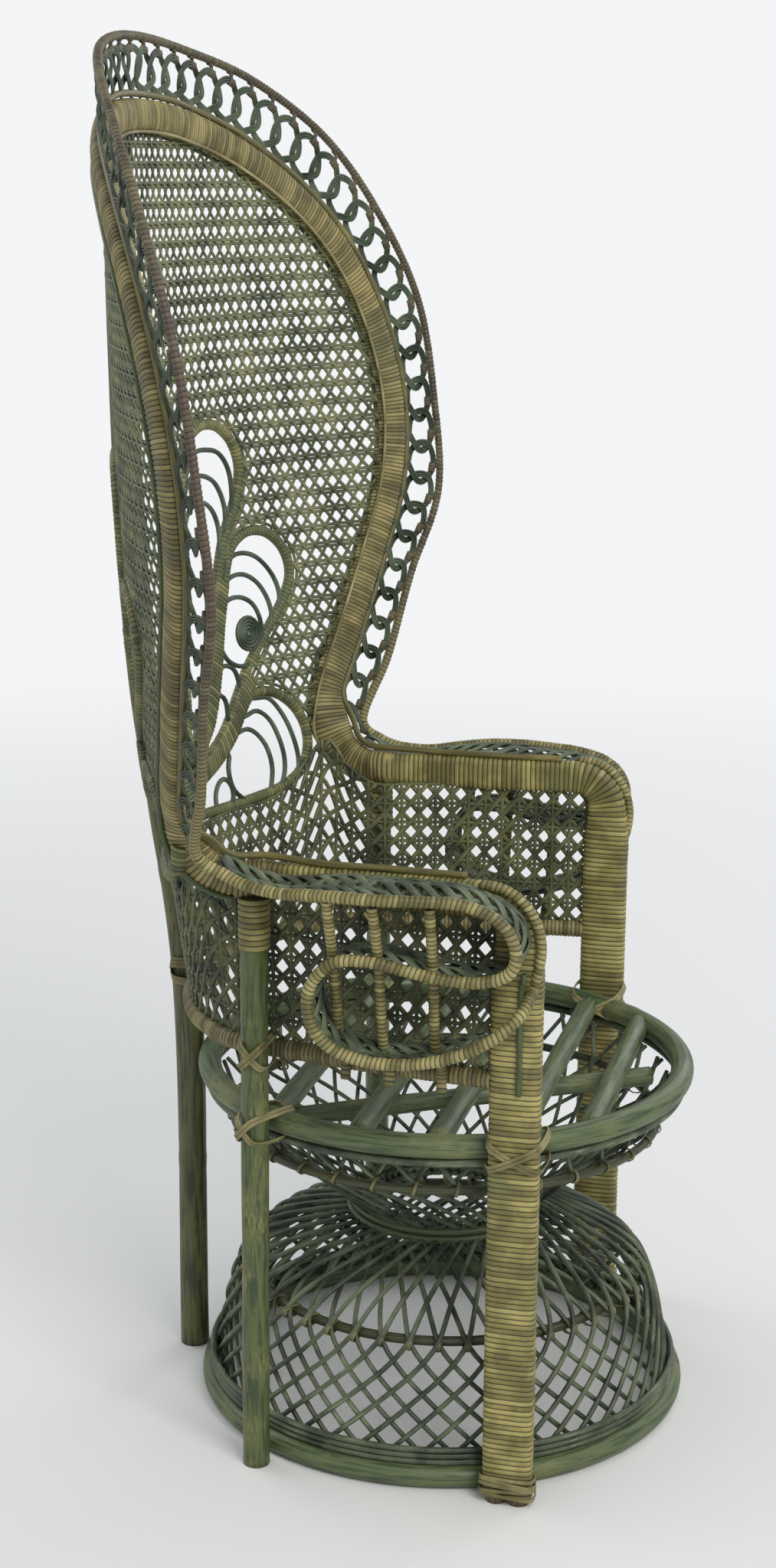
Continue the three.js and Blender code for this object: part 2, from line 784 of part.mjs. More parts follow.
function loopEnd(index, count) {
  const [centreX, centreZ, radius] = loopEndShares[index];
  const [from, to] = loopEndDegrees[index];
  const points = [];
  for (let step = 0; step <= count; step++) {
    const angle = (from + (to - from) * step / count) * Math.PI / 180;
    const x = centreX * fanHalfWidth + radius * fanHalfWidth * Math.cos(angle);
    const z = centreZ * fanHeight + radius * fanHalfWidth * Math.sin(angle);
    points.push(new THREE.Vector2(x, z));
  }
  return points;
}

const stickOffset = fanRodRadius + fanRodGap / 2;

// Closed centre lines of the petals, each between two sticks
function petalLines() {
  const mirror = (points) => points.map((point) => new THREE.Vector2(-point.x, point.y)).reverse();
  const innerC = stick(0, -stickOffset);
  const middle = [
    new THREE.Vector2(0, (innerC[0].y + stickOffset) * 3 / 4),
    ...innerC,
    ...loopEnd(0, 6),
    ...mirror(innerC),
  ];
  const first = [
    ...stick(0, stickOffset),
    ...loopEnd(1, 6),
    ...stick(1, -stickOffset).reverse(),
  ];
  const second = [
    ...stick(1, stickOffset).slice(1, -1),
    ...loopEnd(2, 6),
    ...stick(2, -stickOffset - fanRodGap).slice(2).reverse(),
  ];
  const third = [
    ...stick(2, stickOffset).slice(0, -1),
    ...loopEnd(3, 6),
    ...stick(3, -stickOffset).reverse(),
  ];
  return [middle, first, second, third];
}

const petals = petalLines();

function onFan(place, off = 0) {
  return onBack(place.x, hubHeight + place.y, off);
}

function petalCurve(petal) {
  return new THREE.CatmullRomCurve3(petal.map((place) => onFan(place)), true);
}

function petalRod(curve, steps) {
  const rings = [];
  for (let step = 0; step < steps; step++) {
    const share = step / steps;
    const point = curve.getPointAt(share);
    const rearward = backNormal(point.x, point.z);
    const across = curve.getTangentAt(share).cross(rearward).normalize();
    rings.push(ringAt(point, across, rearward, circle(fanRodRadius, 5)));
  }
  return skin(rings, true);
}

// A thin arc across a petal, at a share of the way up its two sides
function petalArc(petal, share) {
  const last = petal.length - 1;
  const index = Math.round(share * last / 2);
  const left = petal[index];
  const right = petal[last - index];
  const middle = left.clone().lerp(right, 1 / 2);
  const rise = new THREE.Vector2(left.y - right.y, right.x - left.x).multiplyScalar(fanArcBulgeShare);
  middle.add(rise);
  const curve = smooth([left, middle, right].map((place) => onFan(place)));
  return rod(curve, fanArcRadius, 4, 3);
}

function addFan() {
  petals.forEach((petal, index) => {
    const bodies = [petalRod(petalCurve(petal), 20)];
    fanArcShares[index].forEach((share) => bodies.push(petalArc(petal, share)));
    const loop = joined(bodies);
    if (index === 0) {
      add('fan_loop_middle', loop, 'wrap');
    } else {
      addPair(`fan_loop_${index}`, loop, 'wrap');
    }
  });
  addHub();
  addDiscs();
}

const thirdInner = stickShares[2][0][0] * fanHalfWidth;

function addHub() {
  const half = thirdInner - fanRodRadius - 2 * fanRodRadius;
  const foot = hubFoot - hubHeight;
  const top = petals[0][0].y - fanRodRadius - seatGap;
  const outline = [
    new THREE.Vector2(-half, foot), new THREE.Vector2(half, foot),
    new THREE.Vector2(half, top * 2 / 3), new THREE.Vector2(half / 3, top),
    new THREE.Vector2(-half / 3, top), new THREE.Vector2(-half, top * 2 / 3),
  ];
  const hub = bent(new THREE.Shape(outline), hubThickness, (x, z, off) => onBack(x, hubHeight + z, off));
  add('fan_hub', hub, 'wrap');
}

function addDiscs() {
  const outline = circle(discRadius, 12).map((point) => new THREE.Vector2(
    discXShare * fanHalfWidth + point.x,
    discZShare * fanHeight + point.y,
  ));
  const disc = bent(new THREE.Shape(outline), discThickness, (x, z, off) => {
    return onBack(x, hubHeight + z, off - fanArcRadius - discThickness / 2 + discNest);
  });
  addPair('fan_disc', disc, 'cane');
}

// Cane net of the back, around the fan

function inside(point, outline) {
  let within = false;
  outline.forEach((here, index) => {
    const next = outline[(index + 1) % outline.length];
    const crosses = (here.y > point.y) !== (next.y > point.y);
    const edge = here.x + (next.x - here.x) * (point.y - here.y) / (next.y - here.y);
    within = crosses && point.x < edge ? !within : within;
  });
  return within;
}

function distance(point, outline) {
  const nearest = outline.map((here, index) => {
    const next = outline[(index + 1) % outline.length];
    const run = next.clone().sub(here);
    const share = point.clone().sub(here).dot(run) / run.lengthSq();
    const foot = here.clone().addScaledVector(run, Math.min(Math.max(share, 0), 1));
    return foot.distanceTo(point);
  });
  return Math.min(...nearest);
}

// A petal's outline on the back, widened to clear its rod
function petalOutline(petal, grow) {
  const curve = petalCurve(petal);
  const steps = 20;
  const way = Math.sign(THREE.ShapeUtils.area(petal));
  const points = [];
  for (let step = 0; step < steps; step++) {
    const point = curve.getPointAt(step / steps);
    const run = curve.getTangentAt(step / steps);
    const out = new THREE.Vector2(run.z, -run.x).normalize().multiplyScalar(way * grow);
    points.push(new THREE.Vector2(point.x, point.z).add(out));
  }
  return points;
}

function petalPlugs() {
  const outlines = petals.map((petal) => petalOutline(petal, fanRodRadius + rimGap));
  const far = outlines.slice(1).map((outline) => {
    return outline.map((point) => new THREE.Vector2(-point.x, point.y)).reverse();
  });
  return [...outlines, ...far];
}

function plugBody(outline) {
  return bent(new THREE.Shape(outline), 3 * bandThickness, onBack);
}

// Everything outside the band's inner edge
function outsideBand() {
  const rings = [];
  for (let step = 0; step <= bandSteps; step++) {
    const { centre, rearward, outward } = bandFrame(step / bandSteps);
    const near = -bandWidthAt(step / bandSteps) / 2 - rimGap;
    const far = 2 * Math.hypot(netPitchX, netPitchZ);
    const half = 2 * bandThickness;
    rings.push(ringAt(centre, outward, rearward, cell(near, -half, far, 2 * half)));
  }
  return skin(rings);
}

function netOutline() {
  const outline = [];
  for (let step = 0; step <= bandSteps; step++) {
    const { centre, outward } = bandFrame(step / bandSteps);
    const edge = centre.addScaledVector(outward, -bandWidthAt(step / bandSteps) / 2);
    outline.push(new THREE.Vector2(edge.x, edge.z));
  }
  return outline;
}

function addBackNet() {
  const hubPlug = circle(hubPlugRadius, 16).map((point) => new THREE.Vector2(point.x, point.y + hubHeight));
  const plugs = [...petalPlugs(), hubPlug];
  const outline = netOutline();
  const columns = Math.ceil(rimHalfWidth / netPitchX);
  const rows = Math.ceil((rimHeight - backNetFoot) / netPitchZ);
  const faces = [];
  for (let row = 0; row < rows; row++) {
    for (let column = -columns; column <= columns; column++) {
      const centre = new THREE.Vector2(column * netPitchX, backNetFoot + (row + 1 / 2) * netPitchZ);
      const square = cell(centre.x - netPitchX / 2, centre.y - netPitchZ / 2, netPitchX, netPitchZ);
      if (square.some((corner) => inside(corner, outline))) {
        const free = plugs.every((plug) => !inside(centre, plug) && distance(centre, plug) > netMargin);
        const held = inside(centre, outline) && distance(centre, outline) > netMargin;
        const half = [netHoleShare * netPitchX, netHoleShare * netPitchZ];
        faces.push(...cellFaces(square, free && held ? diamond(centre.x, centre.y, ...half) : []));
      }
    }
  }
  const net = bentNet(faces, netThickness, onBack);
  add('back_net', cut(net, [...plugs.map(plugBody), outsideBand()]), 'net');
}

// Lower rail, and the net between it and the arm bands

function aroundSeat(shares, heightOf) {
  const half = shares.map(([x, y, z]) => new THREE.Vector3(x * legX, y * railRearY, heightOf(z)));
  half[0].y = seatGap - legRearY;
  const far = half.slice(0, -1).reverse();
  return smooth([...half, ...far.map((point) => new THREE.Vector3(-point.x, point.y, point.z))]);
}

const railCurve = aroundSeat(railShares, () => railHeight);
const netFootCurve = aroundSeat(railShares, () => railHeight + railRadius + seatGap);
const netTopCurve = aroundSeat(netTopShares, (share) => share * armUnderside - seatGap);

function bothLegs() {
  const leg = legAndArm(seatGap);
  return [leg, mirrored(leg)];
}

function railRod(grow) {
  return rod(railCurve, railRadius + grow, 6, 30);
}

function addRail() {
  add('lower_rail', cut(railRod(0), bothLegs()), 'wrap');
}

function armNet(grow) {
  const faces = [];
  for (let column = 0; column < armNetColumns; column++) {
    for (let row = 0; row < armNetRows; row++) {
      const hole = diamond(column + 1 / 2, row + 1 / 2, netHoleShare, netHoleShare);
      faces.push(...cellFaces(cell(column, row, 1, 1), hole));
    }
  }
  return bentNet(faces, netThickness + 2 * grow, (along, up, off) => {
    const place = netTopCurve.getUtoTmapping(along / armNetColumns);
    const foot = netFootCurve.getPoint(place);
    const run = netTopCurve.getTangent(place);
    const out = new THREE.Vector3(run.y, -run.x, 0).normalize();
    return foot.lerp(netTopCurve.getPoint(place), up / armNetRows).addScaledVector(out, off);
  });
}

function addArmNet() {
  const posts = [midPost(seatGap), mirrored(midPost(seatGap))];
  add('arm_net', cut(armNet(0), [...bothLegs(), ...posts, ...petalPlugs().map(plugBody)]), 'net');
}

// Arm rods, each running on from the rim and ending in a scroll outside the leg

function armRodCurve() {
  const points = armRodShares.map(([x, y, z]) => {
    return new THREE.Vector3(x * scrollX, y * scrollReach, z * armHeight);
  });
  return smooth([rimCurve.getPoint(1), ...points]);
}

const armRodLine = armRodCurve();

function armRod(grow) {
  return rod(armRodLine, armRodRadius + grow, 5, 40);
}

// The plaited strip beside the arm rod, from the arm's rear down through both turns of the scroll
function stripRings() {
  const first = 5;
  const last = 24;
  const steps = 26;
  const rings = [];
  const inner = legOuterX + seatGap;
  for (let step = 0; step <= steps; step++) {
    const place = (first + (last - first) * step / steps) / armRodShares.length;
    const point = armRodLine.getPoint(place);
    const along = armRodLine.getTangent(place);
    const off = new THREE.Vector3(0, -along.z, along.y).normalize().multiplyScalar(stripThickness / 2);
    const outer = point.x - armRodRadius - rimGap - seatGap;
    const near = new THREE.Vector3(inner, point.y, point.z);
    const far = new THREE.Vector3(outer, point.y, point.z);
    rings.push(edged(near, far, off));
  }
  return rings;
}

// Where the rail lies at a given Y, on the sitter's left
function railXAt(y) {
  let [low, high] = [0, 1 / 2];
  for (let halving = 0; halving < 30; halving++) {
    const middle = (low + high) / 2;
    if (railCurve.getPoint(middle).y < y) {
      low = middle;
    } else {
      high = middle;
    }
  }
  return railCurve.getPoint(low).x;
}

function scrollBar([reachShare, topShare, middleShare, lowShare], grow) {
  const y = reachShare * scrollReach;
  const railX = railXAt(y) + railRadius + scrollBarRadius + 2 * seatGap;
  const top = armHeight + bandThickness / 2;
  const foot = railHeight - railRadius - scrollBarRadius;
  const points = [
    new THREE.Vector3(topShare * scrollX, y, top),
    new THREE.Vector3(middleShare * scrollX, y, barMiddleHeight),
    new THREE.Vector3(lowShare * scrollX, y, barLowHeight),
    new THREE.Vector3(railX, y, railHeight + railRadius),
    new THREE.Vector3(railX, y, foot),
  ];
  return rod(smooth(points), scrollBarRadius + grow, 5, 5);
}

function addScrolls() {
  const leg = legAndArm(seatGap);
  addPair('arm_rod', cut(armRod(0), [leg, rimRod(seatGap)]), 'wrap');
  const rodCutter = armRod(seatGap);
  barShares.forEach((shares, index) => {
    addPair(`scroll_bar_${index + 1}`, cut(scrollBar(shares, 0), [rodCutter]), 'wrap');
  });
  const bars = barShares.map((shares) => scrollBar(shares, seatGap));
  addPair('arm_strip', cut(skin(stripRings()), [...bars, leg]), 'plait');
}

// Cane lashings round two members that cross

function lashing(centre, away, tilt, halfAway, halfTilt) {
  const side = away.clone().cross(tilt).multiplyScalar(lashWidth / 2);
  const rings = lashShares.map(([a, b]) => {
    const out = away.clone().multiplyScalar(a * halfAway).addScaledVector(tilt, b * halfTilt);
    const inner = centre.clone().add(out);
    const outer = inner.clone().addScaledVector(out.normalize(), lashThickness);
    return edged(inner, outer, side);
  });
  return skin(rings, true);
}

function addLashings() {
  const up = new THREE.Vector3(0, 0, 1);
  const ring = [seatRing(seatGap), underRing(seatGap)];
  const leg = legAndArm(seatGap);
  const outX = new THREE.Vector3(1, 0, 0);
  const alongY = new THREE.Vector3(0, 1, 0);

  const ringInnerX = Math.sqrt((seatRingRadius - seatRingTube) ** 2 - legCentreY ** 2);
  const halfX = (legOuterX - ringInnerX) / 2 + seatGap;
  const legCentre = new THREE.Vector3(ringInnerX + halfX - seatGap, -legCentreY, seatHeight);
  const halfTilt = legWidth * Math.SQRT1_2 + 2 * lashThickness;
  const legTilt = alongY.clone().add(up).normalize();
  const legLash = lashing(legCentre, outX, legTilt, halfX, halfTilt);
  const legNeighbours = [leg, ...ring, slat(slatPlaceShares[3], lashThickness)];
  addPair('leg_lashing', cut(legLash, legNeighbours), 'binding');

  const postAway = new THREE.Vector3(midPostX, midPostY, 0).normalize();
  const sideways = new THREE.Vector3(-postAway.y, postAway.x, 0);
  const postTilt = sideways.clone().add(up).normalize();
  const grownPost = midPost(seatGap);
  const postReach = Math.hypot(midPostX, midPostY) + midPostRadius + wrapThickness;
  const ringInner = seatRingRadius - seatRingTube;
  const postCentre = postAway.clone().multiplyScalar((postReach + ringInner) / 2).setZ(seatHeight);
  const halfRing = (postReach - ringInner) / 2 + seatGap;
  const postLash = lashing(postCentre, postAway, postTilt, halfRing, midPostRadius * Math.SQRT2);
  const ringNeighbours = [grownPost, ...ring, slat(slatPlaceShares[0], seatGap)];
  addPair('ring_lashing', cut(postLash, ringNeighbours), 'binding');

  const railX = railXAt(midPostY) - railRadius;
  const postOuter = midPostX + midPostRadius + wrapThickness;
  const railCentre = new THREE.Vector3((railX + postOuter) / 2, midPostY, railHeight);
  const railTilt = alongY.clone().add(up).normalize();
  const halfRail = (postOuter - railX) / 2 + seatGap;
  const railLash = lashing(railCentre, outX, railTilt, halfRail, midPostRadius * Math.SQRT2);
  const net = armNet(lashWidth);
  const railNeighbours = [grownPost, railRod(seatGap), net, mirrored(net)];
  addPair('rail_lashing', cut(railLash, railNeighbours), 'binding');
}

addFloorHoops();
addBaseCanes();
addFunnel();
addSeat();
addLegsAndArms();
addPosts();
addBackBand();
add('rim_rod', rimRod(0), 'wrap');
addBorders();
addFan();
addBackNet();
addRail();
addArmNet();
addScrolls();
addLashings();

// The frame's origin: the middle of the footprint, on the floor
const box = new THREE.Box3().setFromObject(chair);
chair.position.y = -(box.min.y + box.max.y) / 2;

export default chair;
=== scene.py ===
import math

import bmesh
import bpy
import numpy as np
from mathutils import Matrix, Vector


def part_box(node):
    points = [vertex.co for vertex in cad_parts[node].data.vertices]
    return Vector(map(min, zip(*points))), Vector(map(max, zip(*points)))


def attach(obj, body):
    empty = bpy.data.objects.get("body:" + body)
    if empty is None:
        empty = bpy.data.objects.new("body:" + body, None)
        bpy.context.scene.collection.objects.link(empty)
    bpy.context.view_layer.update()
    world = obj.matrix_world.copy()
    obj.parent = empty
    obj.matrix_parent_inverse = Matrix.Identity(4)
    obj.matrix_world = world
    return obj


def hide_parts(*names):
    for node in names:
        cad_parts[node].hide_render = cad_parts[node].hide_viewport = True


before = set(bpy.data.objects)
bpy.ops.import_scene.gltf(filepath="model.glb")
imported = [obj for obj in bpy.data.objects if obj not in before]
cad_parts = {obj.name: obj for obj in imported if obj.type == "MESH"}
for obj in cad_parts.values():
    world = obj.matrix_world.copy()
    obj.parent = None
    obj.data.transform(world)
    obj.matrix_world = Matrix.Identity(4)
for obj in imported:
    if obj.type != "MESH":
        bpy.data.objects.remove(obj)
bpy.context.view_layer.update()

# Left is +X, the sitter's left
SIDES = ((1, "left"), (-1, "right"))
UP = (0, 0, 1)

# Sizes in millimetres, measured from the middle of the base on the floor
MM = 0.001
MERGE_DISTANCE = MM / 200
hoop_low, hoop_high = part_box("floor_hoop")
BASE_MIDDLE = np.array([0, (hoop_low[1] + hoop_high[1]) / 2, 0])

HOOP_RADIUS = 273
HOOP_TUBE = 13
THIN_HOOP_TUBE = 3.5
THIN_HOOPS = 3
CANE_RADIUS = 2.9
BASE_CANES = 46
FUNNEL_CANES = 34
TANGENT_RADIUS = 66
WAIST_RADIUS = 100
WAIST_HEIGHT = 219
SHOULDER_RADIUS = 236
SHOULDER_HEIGHT = 150
LAYER_SHIFT = 3
SEAT_RADIUS = 274
SEAT_TUBE = 13.5
SEAT_HEIGHT = 399
UNDER_TUBE = 5
UNDER_HEIGHT = 380
SLAT_RADIUS = 12.5
SLAT_Y_SHARES = (0.504, 0.139, -0.182, -0.467, -0.73)
CROSS_BAR_RADIUS = 11
CROSS_BAR_ENDS = ((66, -230), (-176, 146))
FUNNEL_RING_RADIUS = 238
FUNNEL_RING_HEIGHT = 343

LEG_X = 276.6
LEG_Y = -137
LEG_THICKNESS = 23
LEG_WIDTH = 50
ARM_WIDTH = 37
ARM_THICKNESS = 20
ARM_HEIGHT = 677
ARM_WAIST_X = 268
ARM_REAR_X = 262
ARM_REAR_Y = 150
ARM_CORNER = 38
FOOT_HEIGHT = 7
ARM_UNDERSIDE = ARM_HEIGHT - ARM_WIDTH / 2

POST_X = 267.2
POST_Y = 150
POST_RADIUS = 15
POST_WRAP = 57
REAR_POST_RADIUS = 17
REAR_POST_FOOT = 311
REAR_POST_TOP = 1458
RAIL_RADIUS = 10.5
RAIL_HEIGHT = 483
RAIL_REAR = 290

BACK_REAR = 363
BACK_LEAN = 45
BACK_LEAN_LENGTH = 230
HUB_HEIGHT = 672
BEND_LOW, BEND_HIGH = 435, 650
BEND_HEIGHT_LOW, BEND_HEIGHT_HIGH = 800, 1500

RIM_HALF = 484
RIM_TOP = 1543
RIM_FOOT = 693
RIM_RADIUS = 4.7
BAND_WIDTH = 36
BAND_FOOT_WIDTH = 46
BAND_THICKNESS = 17
EDGE_CANE = 3
EDGE_ROD_RADIUS = 4.5
EDGE_GAP = 0.9
LOOP_PITCH = 39
CHAIN_CANE = 1.5
CHAIN_SPACING = 2.85

FAN_HALF = 270
FAN_HEIGHT = 480
FAN_ROD = 6.5
FAN_SETBACK = 2.5
ARC_RADIUS = 3
DISC_X, DISC_Z = 192, 852
DISC_RADIUS = 25

NET_PITCH = 16.5
NET_ROW = 22
NET_CANE = 2
NET_STRAP_WIDTH = 5
NET_STRAP_THICKNESS = 2.2
ARM_NET_COLUMNS = 58
ARM_NET_ROWS = 7

SCROLL_X = 351
SCROLL_REACH = 150
ARM_ROD_RADIUS = 6.3
BAR_RADIUS = 5.6
CORNER_ROD_RADIUS = 5.5

# One winding of the pattern, and the strips' widths on the thin rods, legs, posts, band and rail
WINDING = 4.4
STRIP = 5.3
LEG_STRIP = 5.9
POST_STRIP = 6.4
BAND_STRIP = 4.9
RAIL_STRIP = 5

# How far apart the places of a line that is bound stand, and of one that only guides others
BOUND_SPACING = 4
OUTLINE_SPACING = 12

RIM_SHARES = (
    (0, 1), (0.258, 0.989), (0.548, 0.952), (0.775, 0.876), (0.905, 0.776), (0.99, 0.645),
    (1, 0.5), (0.977, 0.36), (0.882, 0.242), (0.787, 0.12), (0.69, 0.026),
)
BAND_SHARES = (
    (0, 0.901), (0.229, 0.892), (0.481, 0.853), (0.677, 0.787), (0.788, 0.716), (0.866, 0.612),
    (0.891, 0.494), (0.863, 0.384), (0.786, 0.273), (0.694, 0.164), (0.618, 0.084),
)
BAND_FOOT_SHARES = ((0.596, 0.03), (0.588, -0.02))
STICK_SHARES = (
    ((0.104, 0.121), (0.167, 0.185), (0.211, 0.292), (0.244, 0.433), (0.274, 0.558), (0.296, 0.683)),
    ((0.2, 0.092), (0.296, 0.1375), (0.381, 0.185), (0.474, 0.292), (0.53, 0.402), (0.593, 0.515),
     (0.656, 0.61)),
    ((0.148, 0.0375), (0.2, 0.052), (0.381, 0.085), (0.515, 0.131), (0.622, 0.198), (0.711, 0.2625)),
    ((0.148, -0.044), (0.23, -0.05), (0.574, -0.056)),
)
LOOP_END_SHARES = ((0, 0.84, 0.26), (0.556, 0.7875, 0.215), (0.822, 0.52, 0.193), (0.748, 0.094, 0.222))
LOOP_END_DEGREES = ((0, 180), (170, -30), (170, -40), (100, -80))
RAIL_SHARES = (
    (1, -0.38), (0.975, -0.138), (0.939, 0.138), (0.893, 0.362), (0.868, 0.517), (0.834, 0.631),
    (0.765, 0.717), (0.704, 0.772), (0.596, 0.852), (0.307, 0.969), (0, 1),
)
NET_TOP_SHARES = (
    (1, -0.38, 1), (0.975, -0.138, 1), (0.967, 0.138, 1), (0.905, 0.379, 1), (0.87, 0.517, 1),
    (0.88, 0.638, 1.03), (0.905, 0.741, 1.08), (0.859, 0.821, 1.035), (0.722, 0.897, 0.985),
    (0.361, 1.028, 0.98), (0, 1.0724, 0.98),
)
ARM_ROD_SHARES = (
    (0.934, 1.09, 1.031), (0.943, 0.947, 1.019), (0.969, 0.693, 1.013),
    (1, 0.44, 1.019), (1.03, 0.193, 1.024), (1.04, -0.0667, 1.025), (1.02, -0.34, 1.025),
    (1, -0.607, 1.022), (1, -0.8, 1.01), (1, -0.933, 0.9867), (1, -0.993, 0.9498),
    (1, -0.947, 0.9217), (1, -0.747, 0.904), (1, -0.4, 0.9069), (1, 0.0267, 0.9217),
    (1, 0.267, 0.9158), (1, 0.413, 0.8833), (1, 0.453, 0.8493), (1, 0.4, 0.805),
    (1, 0.267, 0.7784), (1, 0.02, 0.7637), (1, -0.3, 0.7666), (1, -0.62, 0.7873),
    (0.994, -0.78, 0.8065), (0.974, -0.907, 0.8257), (0.929, -1, 0.8464), (0.869, -1.03, 0.8612),
    (0.809, -1.03, 0.8685),
)
BAR_SHARES = (
    (0.313, 1.0085, 0.9345, 0.849), (-0.02, 1.031, 0.9516, 0.8775), (-0.4, 1.0057, 0.9516, 0.8946),
)
BAR_OVER_ARM = 9
BAR_MIDDLE_HEIGHT = 618
BAR_LOW_HEIGHT = 518

# Thin canes that arch inside the fan's middle loop and its three side loops: across, and up from the floor
MIDDLE_ARC_PLACES = (
    ((-66, 985), (-30, 1048), (30, 1048), (66, 985)),
    ((-58, 930), (-24, 990), (24, 990), (58, 930)),
    ((-50, 865), (-20, 920), (20, 920), (50, 865)),
)
SIDE_ARC_PLACES = (
    (
        ((92, 1040), (120, 1076), (148, 1078), (170, 1072), (186, 1052), (190, 1020), (182, 985)),
        ((84, 1005), (105, 1045), (132, 1049), (159, 1038), (175, 1007), (171, 965)),
        ((80, 960), (100, 1008), (128, 1018), (149, 1008), (161, 983), (158, 935)),
    ),
    (
        ((160, 925), (181, 946), (203, 948), (224, 940), (245, 917), (253, 892), (248, 869)),
        ((150, 895), (169, 919), (196, 923), (220, 910), (235, 885), (237, 863), (228, 845)),
        ((143, 868), (152, 887), (171, 896), (192, 895), (210, 884), (219, 863), (216, 830)),
        ((138, 870), (143, 846), (155, 824), (175, 813), (191, 813), (208, 820)),
        ((122, 800), (130, 809), (146, 818), (164, 811), (172, 785)),
        ((108, 768), (119, 776), (132, 785), (141, 776), (141, 752)),
    ),
    (
        ((176, 772), (197, 770), (214, 767), (232, 742), (241, 706), (239, 678), (221, 648)),
        ((158, 750), (174, 752), (192, 755), (210, 741), (221, 705), (218, 677), (200, 648)),
        ((136, 728), (153, 734), (175, 735), (195, 715), (200, 685), (186, 648)),
        ((118, 716), (131, 713), (125, 695), (127, 671), (145, 652)),
        ((86, 646), (88, 668), (99, 682), (113, 686), (124, 676), (124, 662), (112, 650)),
    ),
)


# Smooth lines and the directions beside them

def knots(points):
    steps = np.linalg.norm(np.diff(points, axis=0), axis=1)
    return np.concatenate([[0], np.cumsum(np.sqrt(np.maximum(steps, 1e-6)))])


def smooth(points, per_run, loop=False):
    """A smooth line through points, with as many places on each run between two of them"""
    points = np.asarray(points, float)
    if loop:
        points = np.concatenate([points[-2:], points, points[:3]])
    times = knots(points)
    spans = np.diff(times)[:, None]
    slopes = np.diff(points, axis=0) / spans
    inner = (slopes[:-1] * spans[1:] + slopes[1:] * spans[:-1]) / (spans[:-1] + spans[1:])
    tangents = np.concatenate([slopes[:1], inner, slopes[-1:]])
    share = (np.arange(per_run) / per_run)[None, :, None]
    start, end = points[:-1, None], points[1:, None]
    pull_start, pull_end = tangents[:-1, None] * spans[:, None], tangents[1:, None] * spans[:, None]
    line = ((2 * share ** 3 - 3 * share ** 2 + 1) * start + (share ** 3 - 2 * share ** 2 + share) * pull_start
            + (3 * share ** 2 - 2 * share ** 3) * end + (share ** 3 - share ** 2) * pull_end)
    if loop:
        return line[2:-2].reshape(-1, points.shape[1])
    return np.concatenate([line.reshape(-1, points.shape[1]), points[-1:]])


def run_lengths(line):
    return np.concatenate([[0], np.cumsum(np.linalg.norm(np.diff(line, axis=0), axis=1))])


def sampled(at, along, line):
    """The line's places where its measure along reaches each value of at"""
    return np.stack([np.interp(at, along, line[:, axis]) for axis in range(line.shape[1])], axis=-1)


def at_lengths(line, lengths):
    return sampled(lengths, run_lengths(line), line)


def even(line, spacing, loop=False):
    """The same line with evenly spaced places"""
    if loop:
        line = np.concatenate([line, line[:1]])
    total = run_lengths(line)[-1]
    count = max(int(round(total / spacing)), 2)
    places = at_lengths(line, np.linspace(0, total, count + 1))
    return places[:-1] if loop else places


def unit(vectors):
    return vectors / np.maximum(np.linalg.norm(vectors, axis=-1, keepdims=True), 1e-9)


def directions(line, loop=False):
    if loop:
        return unit(np.roll(line, -1, axis=0) - np.roll(line, 1, axis=0))
    return unit(np.gradient(line, axis=0))


def to_the_right(runs):
    """Flat directions a quarter turn to the right of these"""
    return np.stack([runs[:, 1], -runs[:, 0]], axis=1)


def carried(along):
    """A direction across the line, carried along it without twisting"""
    start = np.cross(along[0], (0, 0, 1) if abs(along[0][2]) < 0.9 else (1, 0, 0))
    across = np.empty_like(along)
    here = start
    for index, way in enumerate(along):
        here = here - way * np.dot(here, way)
        here = here / np.linalg.norm(here)
        across[index] = here
    return across


# Skins over lines, gathered into one mesh

